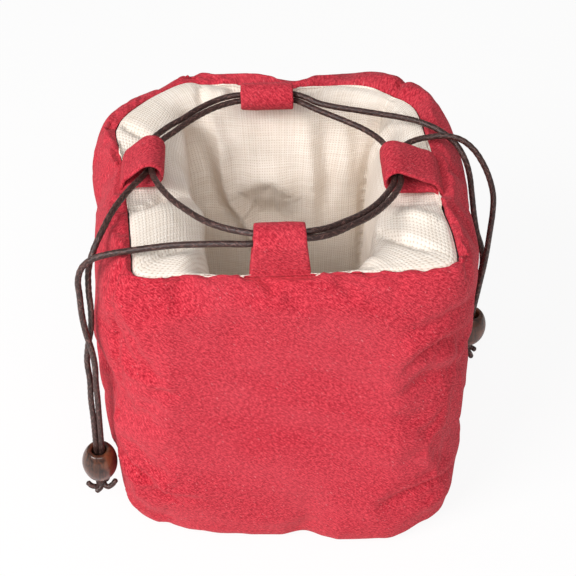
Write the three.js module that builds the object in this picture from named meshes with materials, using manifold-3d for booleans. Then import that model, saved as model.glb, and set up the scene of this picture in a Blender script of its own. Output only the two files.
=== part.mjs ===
// A padded drawstring bag for a tea set, in millimetres. +Z is up, the front faces -Y, and z = 0 is the
// surface that the bag stands on. The origin is under the middle of the bag's base.
//
// The bag is two fabric bags, one in the other, with wadding between them. Their top edges meet in a seam
// round the mouth, and four fabric loops stand in that seam. Two cords run once round through all four
// loops. Each cord's two ends hang down outside, through a wooden bead, and are knotted under it.
import * as THREE from "three";
import Module from "manifold-3d";
import { mergeVertices } from "three/addons/utils/BufferGeometryUtils.js";

const wasm = await Module();
wasm.setup();

// Seen from above, the bag's walls are drawn round this middle.
const MIDDLE_X = -1.8;

// The wall's plan at some heights: how far it reaches from the middle to each side, and how square it is.
// The exponent of a superellipse says how square: 2 is round, and more is squarer.
const BODY = [
  { height: 0, left: 57, right: 63, front: 62, back: 60, squareness: 4.5 },
  { height: 10, left: 61.5, right: 67, front: 66.5, back: 63, squareness: 5.5 },
  { height: 30, left: 63.5, right: 68, front: 65, back: 65, squareness: 7 },
  { height: 60, left: 65.3, right: 68.2, front: 63.5, back: 66, squareness: 7 },
  { height: 90, left: 64.8, right: 68.5, front: 62, back: 66, squareness: 6 },
];
const BELLY = BODY[3];
const FRONT_LEFT_SQUARENESS = 4; // that corner is the roundest, and the left bead slides beside it

// The wall's plan at the shoulder, as points on a smooth curve. Its back corners are cut off.
const SHOULDER_HEIGHT = 114;
const SHOULDER = [
  [66.6, 0], [64.3, 36], [57, 58], [42.5, 69.5], [33.5, 71], [6, 67], [-24, 70], [-33, 71.5], [-50.5, 58],
  [-66.8, 38], [-68.3, 26], [-66.5, 0], [-63.5, -40], [-56, -57], [-30, -60.5], [30, -61], [60, -55],
  [66.5, -38],
];

// The mouth seam, where the outer fabric and the lining meet.
const MOUTH_HEIGHT = 132;
const MOUTH = [
  [55.6, -3.5], [54.6, 13], [51.6, 38], [32.4, 53.6], [6, 53.3], [-28.1, 57.4], [-35.5, 58.6], [-51.9, 45.5],
  [-60.2, 30.5], [-55.6, 2], [-52.7, -24], [-50.5, -44.5], [-47, -54.6], [-1.8, -54.5], [51, -53.6],
  [57, -40],
];
const RIM_CREST = 1.6; // how far the rolled rim stands above the seam
const PAD_RISE = 2.4; // how far the lining's padding stands above the seam, between the loops

// Layers of the wall and of the base.
const FABRIC = 1.0;
const WALL_WADDING = { left: 31, right: 28, front: 29.3, back: 25.3 };
const BASE_WADDING = 14;
const LAYER_GAP = 0.35;
const SEAM_GAP = 0.5;
const FLOOR_RADIUS = 6; // the lining's rounding where its wall meets its floor
const LINING_SQUARENESS = 4.6;
const LINING_DROP = 32; // how far under the seam the lining reaches its full depth of wadding

// Fabric loops in the mouth seam.
const LOOP_STRAP = 1.5; // two layers of fabric, sewn together
const LOOP_FOOT = 3.6; // how thick the loop is where it enters the seam
// Each loop's side of the bag in degrees, how far along that side and how far out it stands, how far it
// leans in over the mouth, and its own sizes.
const LOOPS = [
  { name: "front_loop", side: -90, along: 0, out: 0, lean: 6, length: 18, tipRadius: 5.2, width: 20 },
  { name: "right_loop", side: 0, along: -3.5, out: 1.5, lean: 79, length: 20, tipRadius: 4.8, width: 20 },
  { name: "back_loop", side: 90, along: 2, out: 0.2, lean: 69, length: 19.3, tipRadius: 5, width: 20 },
  { name: "left_loop", side: 180, along: -2, out: 1.5, lean: 69, length: 15, tipRadius: 5, width: 18.5 },
];

// Drawstrings, beads and knots.
const CORD_DIAMETER = 2;
const CORD_SIDES = 8;
const CORD_STEP = 6;
const BEAD_DIAMETER = 13.4;
const BEAD_HEIGHT = 14;
const BEAD_BORE = 5.4;
const BEAD_EDGE = 0.8;
const KNOT_DIAMETER = 6.2;
const KNOT_GAP = 0.35; // between the bead and the knot that it rests on

// Places of the two hanging tails: the bead's centre, and the lean of the strands in it.
const LEFT_BEAD = { x: -71, y: -46, z: 31.5, lean: 2.6 };
const RIGHT_BEAD = { x: 75, y: 0, z: 54, lean: 4.6 };

// Fineness of the meshes.
const AROUND = 48;
const OUTLINE_PIECES = 120;
const CORNER_STEPS = 4;
const ROLL_STEPS = 5;
const ROLL_TURN = 115; // how far the rim rolls over, in degrees, from the shoulder to the seam

const red = new THREE.MeshStandardMaterial({ color: "#c8384a", roughness: 0.95, metalness: 0 });
const linen = new THREE.MeshStandardMaterial({ color: "#ede3d6", roughness: 0.95, metalness: 0 });
const wadding = new THREE.MeshStandardMaterial({ color: "#f6f4ef", roughness: 1, metalness: 0 });
const darkCord = new THREE.MeshStandardMaterial({ color: "#3a2622", roughness: 0.55, metalness: 0 });
const stainedWood = new THREE.MeshStandardMaterial({ color: "#5a3226", roughness: 0.3, metalness: 0 });

const bag = new THREE.Group();

const degrees = (angle) => (angle * Math.PI) / 180;
const mix = (a, b, share) => a + (b - a) * share;
const ease = (share) => (1 - Math.cos(Math.PI * Math.min(Math.max(share, 0), 1))) / 2;

// Copies of a material keep each mesh's own.
function add(name, geometry, material) {
  const mesh = new THREE.Mesh(geometry, material.clone());
  mesh.name = name;
  bag.add(mesh);
  return mesh;
}

// A plan outline is a function from an angle round the bag's middle to a point. This one is a superellipse
// with its own reach on each side.
function squaredOutline({ left, right, front, back, squareness }) {
  return (angle) => {
    const [cosine, sine] = [Math.cos(angle), Math.sin(angle)];
    const power = cosine < 0 && sine < 0 ? Math.min(squareness, FRONT_LEFT_SQUARENESS) : squareness;
    const across = Math.abs(cosine / (cosine < 0 ? left : right)) ** power;
    const along = Math.abs(sine / (sine < 0 ? front : back)) ** power;
    const radius = (across + along) ** (-1 / power);
    return new THREE.Vector2(MIDDLE_X + radius * cosine, radius * sine);
  };
}

// An outline drawn as a smooth closed curve through points. An angle's ray meets one of its short pieces.
function drawnOutline(points) {
  const curve = new THREE.CatmullRomCurve3(
    points.map(([x, y]) => new THREE.Vector3(x - MIDDLE_X, y, 0)),
    true,
  );
  const corners = curve.getPoints(OUTLINE_PIECES);
  return (angle) => {
    const ray = new THREE.Vector3(Math.cos(angle), Math.sin(angle), 0);
    for (let i = 0; i < OUTLINE_PIECES; i++) {
      const piece = corners[i + 1].clone().sub(corners[i]);
      const turn = ray.clone().cross(piece).z;
      const radius = corners[i].clone().cross(piece).z / turn;
      const share = corners[i].clone().cross(ray).z / turn;
      if (radius > 0 && share >= 0 && share <= 1) {
        return new THREE.Vector2(MIDDLE_X + radius * ray.x, radius * ray.y);
      }
    }
    throw new Error("the outline's points don't go round its middle");
  };
}

// The same outline moved inwards along its normal.
function insetPoint(outline, angle, inset) {
  const step = 0.05;
  const along = outline(angle + step).sub(outline(angle - step)).normalize();
  return outline(angle).sub(new THREE.Vector2(along.y, -along.x).multiplyScalar(inset));
}

// The wall's plan at a height, between the two levels of the table that it lies between.
function wallOutline(height) {
  const above = Math.max(BODY.findIndex((level) => level.height >= height), 1);
  const [lower, upper] = [BODY[above - 1], BODY[above]];
  const share = (height - lower.height) / (upper.height - lower.height);
  const reach = (key) => mix(lower[key], upper[key], share);
  return squaredOutline({
    left: reach("left"),
    right: reach("right"),
    front: reach("front"),
    back: reach("back"),
    squareness: reach("squareness"),
  });
}
const shoulderOutline = drawnOutline(SHOULDER);
const mouthOutline = drawnOutline(MOUTH);

const layers = 2 * (FABRIC + LAYER_GAP);
const liningOutline = squaredOutline({
  left: BELLY.left - layers - WALL_WADDING.left,
  right: BELLY.right - layers - WALL_WADDING.right,
  front: BELLY.front - layers - WALL_WADDING.front,
  back: BELLY.back - layers - WALL_WADDING.back,
  squareness: LINING_SQUARENESS,
});
const floorTop = layers + BASE_WADDING;

// Angles round the bag, spaced as on a square so that the corners get their share.
function angleOf(index) {
  const share = (4 * index) / AROUND;
  const side = Math.floor(share);
  return (side * Math.PI) / 2 + Math.atan(2 * (share - side) - 1);
}

// A level of a wall: a ring of points round the bag. Its height is a number, or a function of the angle.
function ring(height, pointAt) {
  const points = [];
  for (let i = 0; i < AROUND; i++) {
    const angle = angleOf(i);
    const point = pointAt(angle);
    points.push(new THREE.Vector3(point.x, point.y, typeof height === "number" ? height : height(angle)));
  }
  return points;
}

const insetRing = (outline, inset, height) => ring(height, (angle) => insetPoint(outline, angle, inset));

// A ring part of the way from one outline to another, moved in or out by an inset.
function betweenRing(from, to, share, inset, height) {
  return ring(height, (angle) =>
    insetPoint(from, angle, inset).lerp(insetPoint(to, angle, inset), share),
  );
}

// Two faces between four points, parted along the shorter diagonal, so that parallel sheets bend alike.
function patch(points, a, b, c, d) {
  const partedAtA = points[a].distanceTo(points[c]) <= points[b].distanceTo(points[d]);
  return partedAtA ? [a, b, c, a, c, d] : [a, b, d, b, c, d];
}

// Rings joined side by side into a surface, and the first and last to each other, or each to its middle.
function ringSolid(rings, closedSection) {
  const points = rings.flat();
  const positions = points.flatMap((point) => point.toArray());
  const faces = [];
  const count = rings.length;
  const bands = closedSection ? count : count - 1;
  for (let level = 0; level < bands; level++) {
    const lower = level * AROUND;
    const upper = ((level + 1) % count) * AROUND;
    for (let i = 0; i < AROUND; i++) {
      const next = (i + 1) % AROUND;
      faces.push(...patch(points, lower + i, lower + next, upper + next, upper + i));
    }
  }
  if (!closedSection) {
    const middle = positions.length / 3;
    positions.push(MIDDLE_X, 0, rings[0][0].z, MIDDLE_X, 0, rings[count - 1][0].z);
    for (let i = 0; i < AROUND; i++) {
      const next = (i + 1) % AROUND;
      faces.push(middle, next, i);
      faces.push(middle + 1, (count - 1) * AROUND + i, (count - 1) * AROUND + next);
    }
  }
  const geometry = new THREE.BufferGeometry();
  geometry.setAttribute("position", new THREE.Float32BufferAttribute(positions, 3));
  geometry.setIndex(faces);
  return geometry;
}

// A flat panel between two heights, with the outline's shape.
function panel(outline, inset, bottom, top) {
  return ringSolid([insetRing(outline, inset, bottom), insetRing(outline, inset, top)], false);
}

// Each ring moved along the surface's normal, away from the side that the rings show.
function offsetRings(rings, distance) {
  return rings.map((points, level) =>
    points.map((point, i) => {
      const after = rings[Math.min(level + 1, rings.length - 1)][i];
      const before = rings[Math.max(level - 1, 0)][i];
      const up = after.clone().sub(before);
      const round = points[(i + 1) % AROUND].clone().sub(points[(i + AROUND - 1) % AROUND]);
      return point.clone().addScaledVector(round.cross(up).normalize(), -distance);
    }),
  );
}

// The side of the outer fabric that is seen, from the base seam up the wall and over the rim to the mouth.
function outerFace() {
  const foot = wallOutline(0);
  const edge = BODY[1].height;
  const rings = [];
  for (let i = 0; i <= CORNER_STEPS; i++) {
    const turn = degrees((90 * i) / CORNER_STEPS);
    rings.push(betweenRing(foot, wallOutline(edge), Math.sin(turn), 0, edge * (1 - Math.cos(turn))));
  }
  for (const height of [20, 30, 45, 60, 75, 90]) {
    rings.push(insetRing(wallOutline(height), 0, height));
  }
  const top = BODY[BODY.length - 1].height;
  for (const share of [0.5, 1]) {
    rings.push(betweenRing(wallOutline(top), shoulderOutline, share, 0, mix(top, SHOULDER_HEIGHT, share)));
  }
  const rise = MOUTH_HEIGHT + RIM_CREST - SHOULDER_HEIGHT;
  const last = degrees(ROLL_TURN);
  for (let i = 1; i <= ROLL_STEPS; i++) {
    const turn = (last * i) / ROLL_STEPS;
    const share = (1 - Math.cos(turn)) / (1 - Math.cos(last));
    const height = i < ROLL_STEPS ? SHOULDER_HEIGHT + rise * Math.sin(turn) : MOUTH_HEIGHT;
    rings.push(betweenRing(shoulderOutline, mouthOutline, share, -SEAM_GAP / 2, height));
  }
  return rings;
}

// How far a place is from the four loops, from 0 in the middle of a side to 1 at a corner.
const cornerShare = (angle) => Math.min(Math.max((Math.abs(Math.sin(2 * angle)) - 0.5) / 0.4, 0), 1);

// The side of the lining that is seen, from the mouth seam down the wall to the floor's seam. The padding
// under it first stands up between the loops, and then the wall leans inwards to its full depth.
function liningFace() {
  const rings = [];
  // For each level, shares of the way inwards, of the drop and of the padding's rise.
  const slope = [
    [0, 0, 0],
    [0.12, 0.01, 0.9],
    [0.34, 0.05, 1],
    [0.56, 0.15, 0.9],
    [0.78, 0.36, 0.5],
    [0.94, 0.66, 0.2],
    [1, 1, 0],
  ];
  for (const [share, drop, puff] of slope) {
    const height = (angle) => MOUTH_HEIGHT - LINING_DROP * drop + PAD_RISE * puff * cornerShare(angle);
    rings.push(betweenRing(mouthOutline, liningOutline, share, SEAM_GAP / 2, height));
  }
  rings.push(insetRing(liningOutline, SEAM_GAP / 2, mix(MOUTH_HEIGHT - LINING_DROP, floorTop, 0.45)));
  for (let i = 0; i <= CORNER_STEPS; i++) {
    const turn = degrees((90 * i) / CORNER_STEPS);
    const inset = FLOOR_RADIUS * (1 - Math.cos(turn)) + SEAM_GAP / 2;
    rings.push(insetRing(liningOutline, inset, floorTop + FLOOR_RADIUS * (1 - Math.sin(turn))));
  }
  return rings;
}

// A sheet of fabric: the seen side, and the hidden side one thickness behind it.
function fabricShell(face) {
  const back = offsetRings(face, FABRIC);
  return ringSolid([...face, ...back.reverse()], true);
}

const outerRings = outerFace();
const liningRings = liningFace();

add("outer_wall", fabricShell(outerRings), red);
add("outer_base", panel(wallOutline(0), SEAM_GAP + FABRIC, 0, FABRIC), red);
add("lining_wall", fabricShell(liningRings), linen);
add(
  "lining_base",
  panel(liningOutline, FLOOR_RADIUS + SEAM_GAP / 2 + SEAM_GAP, floorTop - FABRIC, floorTop),
  linen,
);

// The wadding fills the wall between the two fabrics, up to just under the mouth seam, and stands on the
// outer base. The floor's own wadding lies inside it, under the lining's floor.
const backOfFabric = FABRIC + LAYER_GAP;
const waddingBottom = FABRIC + LAYER_GAP;
function wallWadding() {
  const outside = offsetRings(outerRings, backOfFabric).slice(CORNER_STEPS, -3);
  const underSeam = insetRing(mouthOutline, 0, MOUTH_HEIGHT - backOfFabric - LAYER_GAP);
  const inside = offsetRings(liningRings, backOfFabric).slice(2, -CORNER_STEPS - 1);
  const footInset = LAYER_GAP / 2 - backOfFabric;
  const foot = insetRing(liningOutline, footInset, waddingBottom);
  const toe = insetRing(wallOutline(0), backOfFabric + FABRIC, waddingBottom);
  return ringSolid([toe, ...outside, underSeam, ...inside, foot], true);
}
add("wadding_wall", wallWadding(), wadding);
add(
  "wadding_base",
  panel(liningOutline, LAYER_GAP / 2 + LAYER_GAP - backOfFabric, waddingBottom, waddingBottom + BASE_WADDING),
  wadding,
);

// A loop's outline seen along its tunnel: a teardrop that stands on the seam. Straight sides run from the
// foot to where they meet the round tip.
function teardrop(shape, halfFoot, start, centre, radius) {
  const distance = Math.hypot(halfFoot, centre - start);
  const tangent = Math.atan2(start - centre, halfFoot) + Math.acos(radius / distance);
  shape.moveTo(-halfFoot, start);
  shape.lineTo(halfFoot, start);
  shape.absarc(0, centre, radius, tangent, Math.PI - tangent, false);
  shape.lineTo(-halfFoot, start);
  return shape;
}

// A loop stands on the mouth seam, leans inwards over the mouth and runs along the seam.
function fabricLoop({ name, side, along, out, lean, length, tipRadius, width }) {
  const centre = length - tipRadius;
  const outline = teardrop(new THREE.Shape(), LOOP_FOOT / 2, 0, centre, tipRadius);
  const innerFoot = LOOP_FOOT / 2 - LOOP_STRAP;
  outline.holes.push(teardrop(new THREE.Path(), innerFoot, LOOP_STRAP, centre, tipRadius - LOOP_STRAP));
  const strap = new THREE.ExtrudeGeometry(outline, {
    depth: width,
    bevelEnabled: false,
    curveSegments: 8,
  });
  strap.translate(0, 0, -width / 2);
  strap.rotateX(Math.PI / 2);
  strap.rotateY(degrees(-lean));
  const loop = add(name, strap, red);
  const seat = insetPoint(mouthOutline, degrees(side), LOOP_FOOT / 2 - out);
  const liftOfFoot = (LOOP_FOOT / 2) * Math.sin(degrees(lean));
  const turned = new THREE.Group();
  turned.position.set(seat.x, seat.y, MOUTH_HEIGHT + LAYER_GAP + liftOfFoot);
  turned.rotation.z = degrees(side);
  loop.position.set(0, along, 0);
  turned.add(loop);
  bag.add(turned);
}
LOOPS.forEach(fabricLoop);

// Cord routes, as points chosen along the way. The left cord enters the left loop from the front, goes
// round by the back and right loops and leaves the front loop on the left. The right cord goes in at the
// back of the right loop, round by the front and left loops, and leaves the back loop on the right.
const LEFT_CORD_RING = [
  [-45.6, 2.25, 136.3], [-45.1, 6.5, 136.9], [-44.2, 11.3, 137.7], [-38, 19.2, 137.9], [-33.5, 24.5, 138],
  [-28.2, 29.8, 138.1], [-22.8, 34, 138.1], [-17.5, 36.8, 138], [-14, 37.8, 138], [-4, 37.9, 138],
  [6, 37.7, 138], [9.9, 35, 138], [13.8, 31.9, 137.8], [19.2, 27.9, 137.7], [24.5, 24.2, 137.5],
  [31.5, 18.7, 137.2], [36.4, 12.8, 136.9], [38.9, 6.5, 136.8], [38.9, -3.5, 137.3], [38.9, -13.5, 137.9],
  [36.4, -20.1, 139], [31.5, -29.1, 140.7], [25.9, -36.3, 142.3], [20.6, -41.3, 143.8],
  [13.9, -46.9, 145.5], [8.2, -49.8, 146.7], [3.2, -50, 145.9], [-1.55, -49.8, 144.6],
];
const RIGHT_CORD_RING = [
  [41.2, -3.75, 135.9], [41.4, -8.5, 136.9], [41.3, -13.5, 138], [38.7, -21.4, 139.2], [33.6, -30.5, 140.8],
  [27.8, -38, 142.3], [22.3, -43.2, 143.6], [15.4, -49.1, 145], [8.2, -52.3, 146], [-1.8, -51.8, 146.7],
  [-11.8, -50.2, 147], [-17.2, -47.9, 146.5], [-22.8, -44.3, 145.7], [-28, -39.4, 144.8],
  [-31.5, -34.9, 144], [-37, -26.9, 142.5], [-42.4, -15.5, 140.4], [-44.9, -7.2, 139.1],
  [-46.2, 2, 139], [-47, 7, 138.9], [-46.7, 11.8, 138.7], [-41, 20.8, 138.4], [-35.4, 26.2, 138.5],
  [-29.9, 31.7, 138.8], [-24.1, 36.1, 139.1], [-18.6, 38.6, 139.5], [-14, 39.3, 139.7], [-4.25, 39.3, 139.8],
];

// From the loops over the rim and down to the level where the tails begin to swing.
const LEFT_CORD_SIDE_RUN = [
  [-45.7, 1.75, 136.3], [-47.2, -3, 136.5], [-49.2, -7.2, 136.8], [-51.6, -11.5, 137], [-54.8, -18, 137],
  [-58, -26, 136.8], [-60.9, -33.5, 134.9], [-63.6, -38.6, 131.3], [-65.5, -42.2, 126.2],
  [-66.2, -44.2, 118.4],
];
const LEFT_CORD_FRONT_RUN = [
  [-2.05, -49.8, 144.5], [-6.5, -50.5, 143.4], [-11.8, -50.9, 142.9], [-19.5, -49.9, 142.3],
  [-27.6, -48.8, 141.4], [-35.8, -47.6, 140.2], [-44, -46.8, 138.6], [-51, -46.4, 137.2], [-57.5, -46.4, 136],
  [-62.8, -46.4, 134.2], [-66.8, -46.4, 130.6], [-68.8, -46.5, 125], [-69, -46.7, 118.4],
];
const RIGHT_CORD_FRONT_RUN = [
  [41.2, -3.25, 135.9], [41.7, 1.5, 136], [42.8, 6.5, 136.3], [45.5, 10.2, 136.4], [50, 12.8, 136.6],
  [55.5, 13.8, 137], [61, 13.2, 137.6], [66, 11.6, 136.9], [70.3, 9.4, 134.2], [73.9, 6.8, 129.6],
  [76.6, 4.4, 124], [78.2, 2.4, 118], [78.4, 0.6, 111.5], [78.1, -0.6, 105.5], [77.9, -1.1, 100.4],
];
const RIGHT_CORD_BACK_RUN = [
  [-3.75, 39.3, 139.8], [1.5, 39.3, 139.9], [6, 38.8, 140], [10.3, 36.4, 140], [15.2, 33, 139.6],
  [21, 31, 139.2], [30.3, 28.8, 138.7], [37.7, 27.3, 138.1], [45, 25.8, 137.5], [52.2, 23.4, 136.9],
  [58.9, 18.9, 136.1], [64.6, 14.8, 133], [68, 11.3, 128.4], [69.9, 9, 122.9], [71.3, 7, 115],
  [72.7, 5.2, 106.7], [74.1, 3.2, 100.4],
];

// The tails, down to the knot. Beside the bead the two strands are straight and lie side by side.
const LEFT_TAIL_SIDE_STRAND = [
  [-66.2, -44.2, 118], [-66.3, -44.7, 110], [-67.1, -44.9, 101.5], [-69, -44.7, 93], [-70.3, -44.6, 84.5],
  [-69.4, -44.8, 76], [-69.4, -44.85, 66], [-71.3, -44.85, 24.4],
];
const LEFT_TAIL_FRONT_STRAND = [
  [-69, -46.7, 118], [-69.1, -47.3, 110], [-68.6, -47.6, 101.5], [-67.6, -47.4, 93], [-67.3, -47.2, 84.5],
  [-68.5, -47.1, 76], [-69.4, -47.15, 66], [-71.3, -47.15, 24.4],
];
const RIGHT_TAIL_FRONT_STRAND = [
  [77.9, -1.1, 100], [77.8, -1.15, 94], [77.5, -1.15, 87], [76.9, -1.15, 79], [74.4, -1.15, 46.9],
];
const RIGHT_TAIL_BACK_STRAND = [
  [74.1, 3.2, 100], [76.2, 2, 94], [77.3, 1.2, 87], [76.9, 1.15, 79], [74.4, 1.15, 46.9],
];

// A cord is a round section carried along a smooth curve through its points.
function cord(name, route) {
  const curve = new THREE.CatmullRomCurve3(route.map((point) => new THREE.Vector3(...point)));
  const section = new THREE.Shape();
  section.absarc(0, 0, CORD_DIAMETER / 2, 0, 2 * Math.PI, false);
  const tube = new THREE.ExtrudeGeometry(section, {
    extrudePath: curve,
    steps: Math.max(4, Math.round(curve.getLength() / CORD_STEP)),
    curveSegments: CORD_SIDES / 2,
  });
  add(name, tube, darkCord);
}
cord("left_cord_ring", LEFT_CORD_RING);
cord("right_cord_ring", RIGHT_CORD_RING);
cord("left_cord_side_run", LEFT_CORD_SIDE_RUN);
cord("left_cord_front_run", LEFT_CORD_FRONT_RUN);
cord("right_cord_front_run", RIGHT_CORD_FRONT_RUN);
cord("right_cord_back_run", RIGHT_CORD_BACK_RUN);
cord("left_tail_side_strand", LEFT_TAIL_SIDE_STRAND);
cord("left_tail_front_strand", LEFT_TAIL_FRONT_STRAND);
cord("right_tail_front_strand", RIGHT_TAIL_FRONT_STRAND);
cord("right_tail_back_strand", RIGHT_TAIL_BACK_STRAND);

// A turned wooden bead: a barrel with rounded edges and a straight bore.
function bead(name, place) {
  const half = BEAD_HEIGHT / 2;
  const bore = BEAD_BORE / 2;
  const mouth = bore + BEAD_EDGE;
  const profile = [new THREE.Vector2(bore, -half + BEAD_EDGE), new THREE.Vector2(mouth, -half)];
  const barrel = 8;
  const endRadius = mouth + BEAD_EDGE;
  const endAngle = Math.asin(endRadius / (BEAD_DIAMETER / 2));
  for (let i = 0; i <= barrel; i++) {
    const angle = mix(endAngle, Math.PI - endAngle, i / barrel);
    const height = (-Math.cos(angle) / Math.cos(endAngle)) * half;
    profile.push(new THREE.Vector2((BEAD_DIAMETER / 2) * Math.sin(angle), height));
  }
  profile.push(new THREE.Vector2(mouth, half), new THREE.Vector2(bore, half - BEAD_EDGE));
  profile.push(profile[0].clone());
  const turned = add(name, new THREE.LatheGeometry(profile, 20), stainedWood);
  turned.geometry.rotateX(Math.PI / 2);
  turned.rotation.y = degrees(place.lean);
  turned.position.set(place.x, place.y, place.z);
}
bead("left_bead", LEFT_BEAD);
bead("right_bead", RIGHT_BEAD);

// A geometry as a manifold solid, and back.
function solidOf(geometry) {
  const bare = geometry.clone();
  bare.deleteAttribute("normal");
  bare.deleteAttribute("uv");
  const merged = mergeVertices(bare, 1e-4);
  return new wasm.Manifold(
    new wasm.Mesh({
      numProp: 3,
      vertProperties: merged.attributes.position.array,
      triVerts: new Uint32Array(merged.index.array),
    }),
  );
}
function geometryOf(solid) {
  const mesh = solid.getMesh();
  const geometry = new THREE.BufferGeometry();
  geometry.setAttribute("position", new THREE.Float32BufferAttribute(mesh.vertProperties, 3));
  geometry.setIndex(new THREE.BufferAttribute(mesh.triVerts, 1));
  return geometry;
}

// The knot under a bead, with the cords' cut ends standing out of it.
function knot(name, place, ends) {
  const ball = new THREE.SphereGeometry(KNOT_DIAMETER / 2, 14, 10);
  ball.rotateX(Math.PI / 2);
  ball.scale(1, 1, 0.8);
  let solid = solidOf(ball);
  for (const end of ends) {
    const section = new THREE.Shape();
    section.absarc(0, 0, CORD_DIAMETER / 2, 0, 2 * Math.PI, false);
    const stub = new THREE.ExtrudeGeometry(section, {
      extrudePath: new THREE.CatmullRomCurve3(end.map((point) => new THREE.Vector3(...point))),
      steps: 4,
      curveSegments: CORD_SIDES / 2,
    });
    solid = solid.add(solidOf(stub));
  }
  const tied = add(name, geometryOf(solid), darkCord);
  const under = BEAD_HEIGHT / 2 + KNOT_GAP + 0.4 * KNOT_DIAMETER;
  const lean = degrees(place.lean);
  tied.position.set(place.x - under * Math.sin(lean), place.y, place.z - under * Math.cos(lean));
}
knot("left_knot", LEFT_BEAD, [
  [[0, 0, 0], [-2.4, -1.6, -0.6], [-4.6, -2.2, -1], [-6.2, -1.6, -1.2]],
  [[0, 0, 0], [2.2, -1.8, -0.8], [4.6, -2, -0.4], [6.4, -0.8, 0.6]],
]);
knot("right_knot", RIGHT_BEAD, [
  [[0, 0, 0], [0.6, -0.8, -2.2], [1, -1.2, -4.4], [1.2, -1.4, -6.4]],
  [[0, 0, 0], [-0.6, 1, -2.2], [-0.4, 1.4, -4.2], [0, 1.6, -5.8]],
]);

export default bag;
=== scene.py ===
"""A padded drawstring bag for tea ware, in metres, +Z up, with its front towards -Y.

The bag is one closed skin, laid out as rings from the middle of the base, up the wall, over the rim, down
the lining and to the middle of the floor. The skin is puffed as cloth, creased along listed folds, and then cut
into the outer fabric, the lining and the wadding between them. The cords, beads, knots and loops have their own
parts.
"""

import math

import bmesh
import bpy
import numpy as np
from mathutils import Matrix, Vector, kdtree, noise


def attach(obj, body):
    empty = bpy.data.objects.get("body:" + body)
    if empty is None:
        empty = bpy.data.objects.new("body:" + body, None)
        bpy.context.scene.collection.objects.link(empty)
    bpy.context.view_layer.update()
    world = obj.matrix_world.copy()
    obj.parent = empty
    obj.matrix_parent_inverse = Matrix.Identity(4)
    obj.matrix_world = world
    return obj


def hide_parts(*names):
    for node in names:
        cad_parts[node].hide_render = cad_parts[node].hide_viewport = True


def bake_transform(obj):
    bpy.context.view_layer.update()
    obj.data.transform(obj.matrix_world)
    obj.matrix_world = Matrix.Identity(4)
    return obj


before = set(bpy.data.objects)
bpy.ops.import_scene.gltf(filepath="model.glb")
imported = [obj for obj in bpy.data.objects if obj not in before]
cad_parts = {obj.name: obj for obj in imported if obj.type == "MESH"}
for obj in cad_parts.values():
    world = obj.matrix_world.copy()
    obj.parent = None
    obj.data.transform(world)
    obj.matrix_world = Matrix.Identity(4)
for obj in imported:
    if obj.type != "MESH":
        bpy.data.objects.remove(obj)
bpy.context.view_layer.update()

MM = 0.001


# Camera.

def add_camera():
    """The photograph's view: from above the front, a little to the left, through a long lens."""
    camera = bpy.data.objects.new("camera", bpy.data.cameras.new("camera"))
    camera.data.lens = 78.125
    camera.data.sensor_width = 36
    camera.location = (-0.0098, -0.3569, 0.4031)
    camera.rotation_euler = (math.radians(47.58), 0, math.radians(-1.99))
    bpy.context.collection.objects.link(camera)
    bpy.context.scene.camera = camera


add_camera()


# Mesh and node helpers.

def linear(colour):
    """An sRGB hex colour as the linear colour that shaders use."""
    parts = [int(colour[i:i + 2], 16) / 255 for i in (1, 3, 5)]
    return tuple(v / 12.92 if v <= 0.04045 else ((v + 0.055) / 1.055) ** 2.4 for v in parts) + (1,)


def put(tree, kind, inputs=None, **settings):
    """Adds a node. settings are its properties. inputs are values, sockets, or nodes whose first output
    feeds it."""
    made = tree.nodes.new(kind)
    for name, value in settings.items():
        setattr(made, name, value)
    for key, value in (inputs or {}).items():
        if isinstance(value, bpy.types.Node):
            value = value.outputs[0]
        if isinstance(value, bpy.types.NodeSocket):
            tree.links.new(value, made.inputs[key])
        else:
            made.inputs[key].default_value = value
    return made


def empty_tree(owner):
    """The node tree of a material or a world, with nothing in it."""
    owner.use_nodes = True
    owner.node_tree.nodes.clear()
    return owner.node_tree


def surface(name, build):
    """A new material whose tree build fills in. build returns the Principled shader's inputs."""
    material = bpy.data.materials.new(name)
    tree = empty_tree(material)
    shader = put(tree, "ShaderNodeBsdfPrincipled", build(tree))
    put(tree, "ShaderNodeOutputMaterial", {"Surface": shader})
    return material


def mesh_object(name, vertices, faces, material, uv=None):
    """A smooth mesh from points in millimetres. uv holds one pair in millimetres for each corner."""
    mesh = bpy.data.meshes.new(name)
    mesh.from_pydata((np.asarray(vertices) * MM).tolist(), [], faces)
    if uv is not None:
        layer = mesh.uv_layers.new(name="cloth")
        layer.data.foreach_set("uv", (np.asarray(uv, float) * MM).ravel())
    mesh.validate()
    mesh.polygons.foreach_set("use_smooth", [True] * len(mesh.polygons))
    mesh.materials.append(material)
    made = bpy.data.objects.new(name, mesh)
    bpy.context.collection.objects.link(made)
    return made


def facing_out(piece):
    """Turns a closed mesh's faces outwards."""
    shape = bmesh.new()
    shape.from_mesh(piece.data)
    bmesh.ops.recalc_face_normals(shape, faces=shape.faces)
    shape.to_mesh(piece.data)
    shape.free()
    return piece


def grid_faces(rows, columns, shut=False):
    """Faces between rings that close round. With shut, the last ring joins the first as well."""
    return [(r * columns + c, r * columns + (c + 1) % columns, (r + 1) % rows * columns + (c + 1) % columns,
             (r + 1) % rows * columns + c) for r in range(rows if shut else rows - 1) for c in range(columns)]


def dress(piece, node, body="bag"):
    """Puts a piece in a CAD solid's place, on its body."""
    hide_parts(node)
    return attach(piece, body)


def between(a, b, c, d, t):
    """A smooth curve through b and c, at a share t of the way from b to c."""
    return 0.5 * (2 * b + (c - a) * t + (2 * a - 5 * b + 4 * c - d) * t ** 2
                  + (3 * b - a - 3 * c + d) * t ** 3)


def eased(share):
    """A share of the way, held between 0 and 1, with a soft start and end."""
    share = np.clip(share, 0, 1)
    return share * share * (3 - 2 * share)


# Materials.

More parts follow.
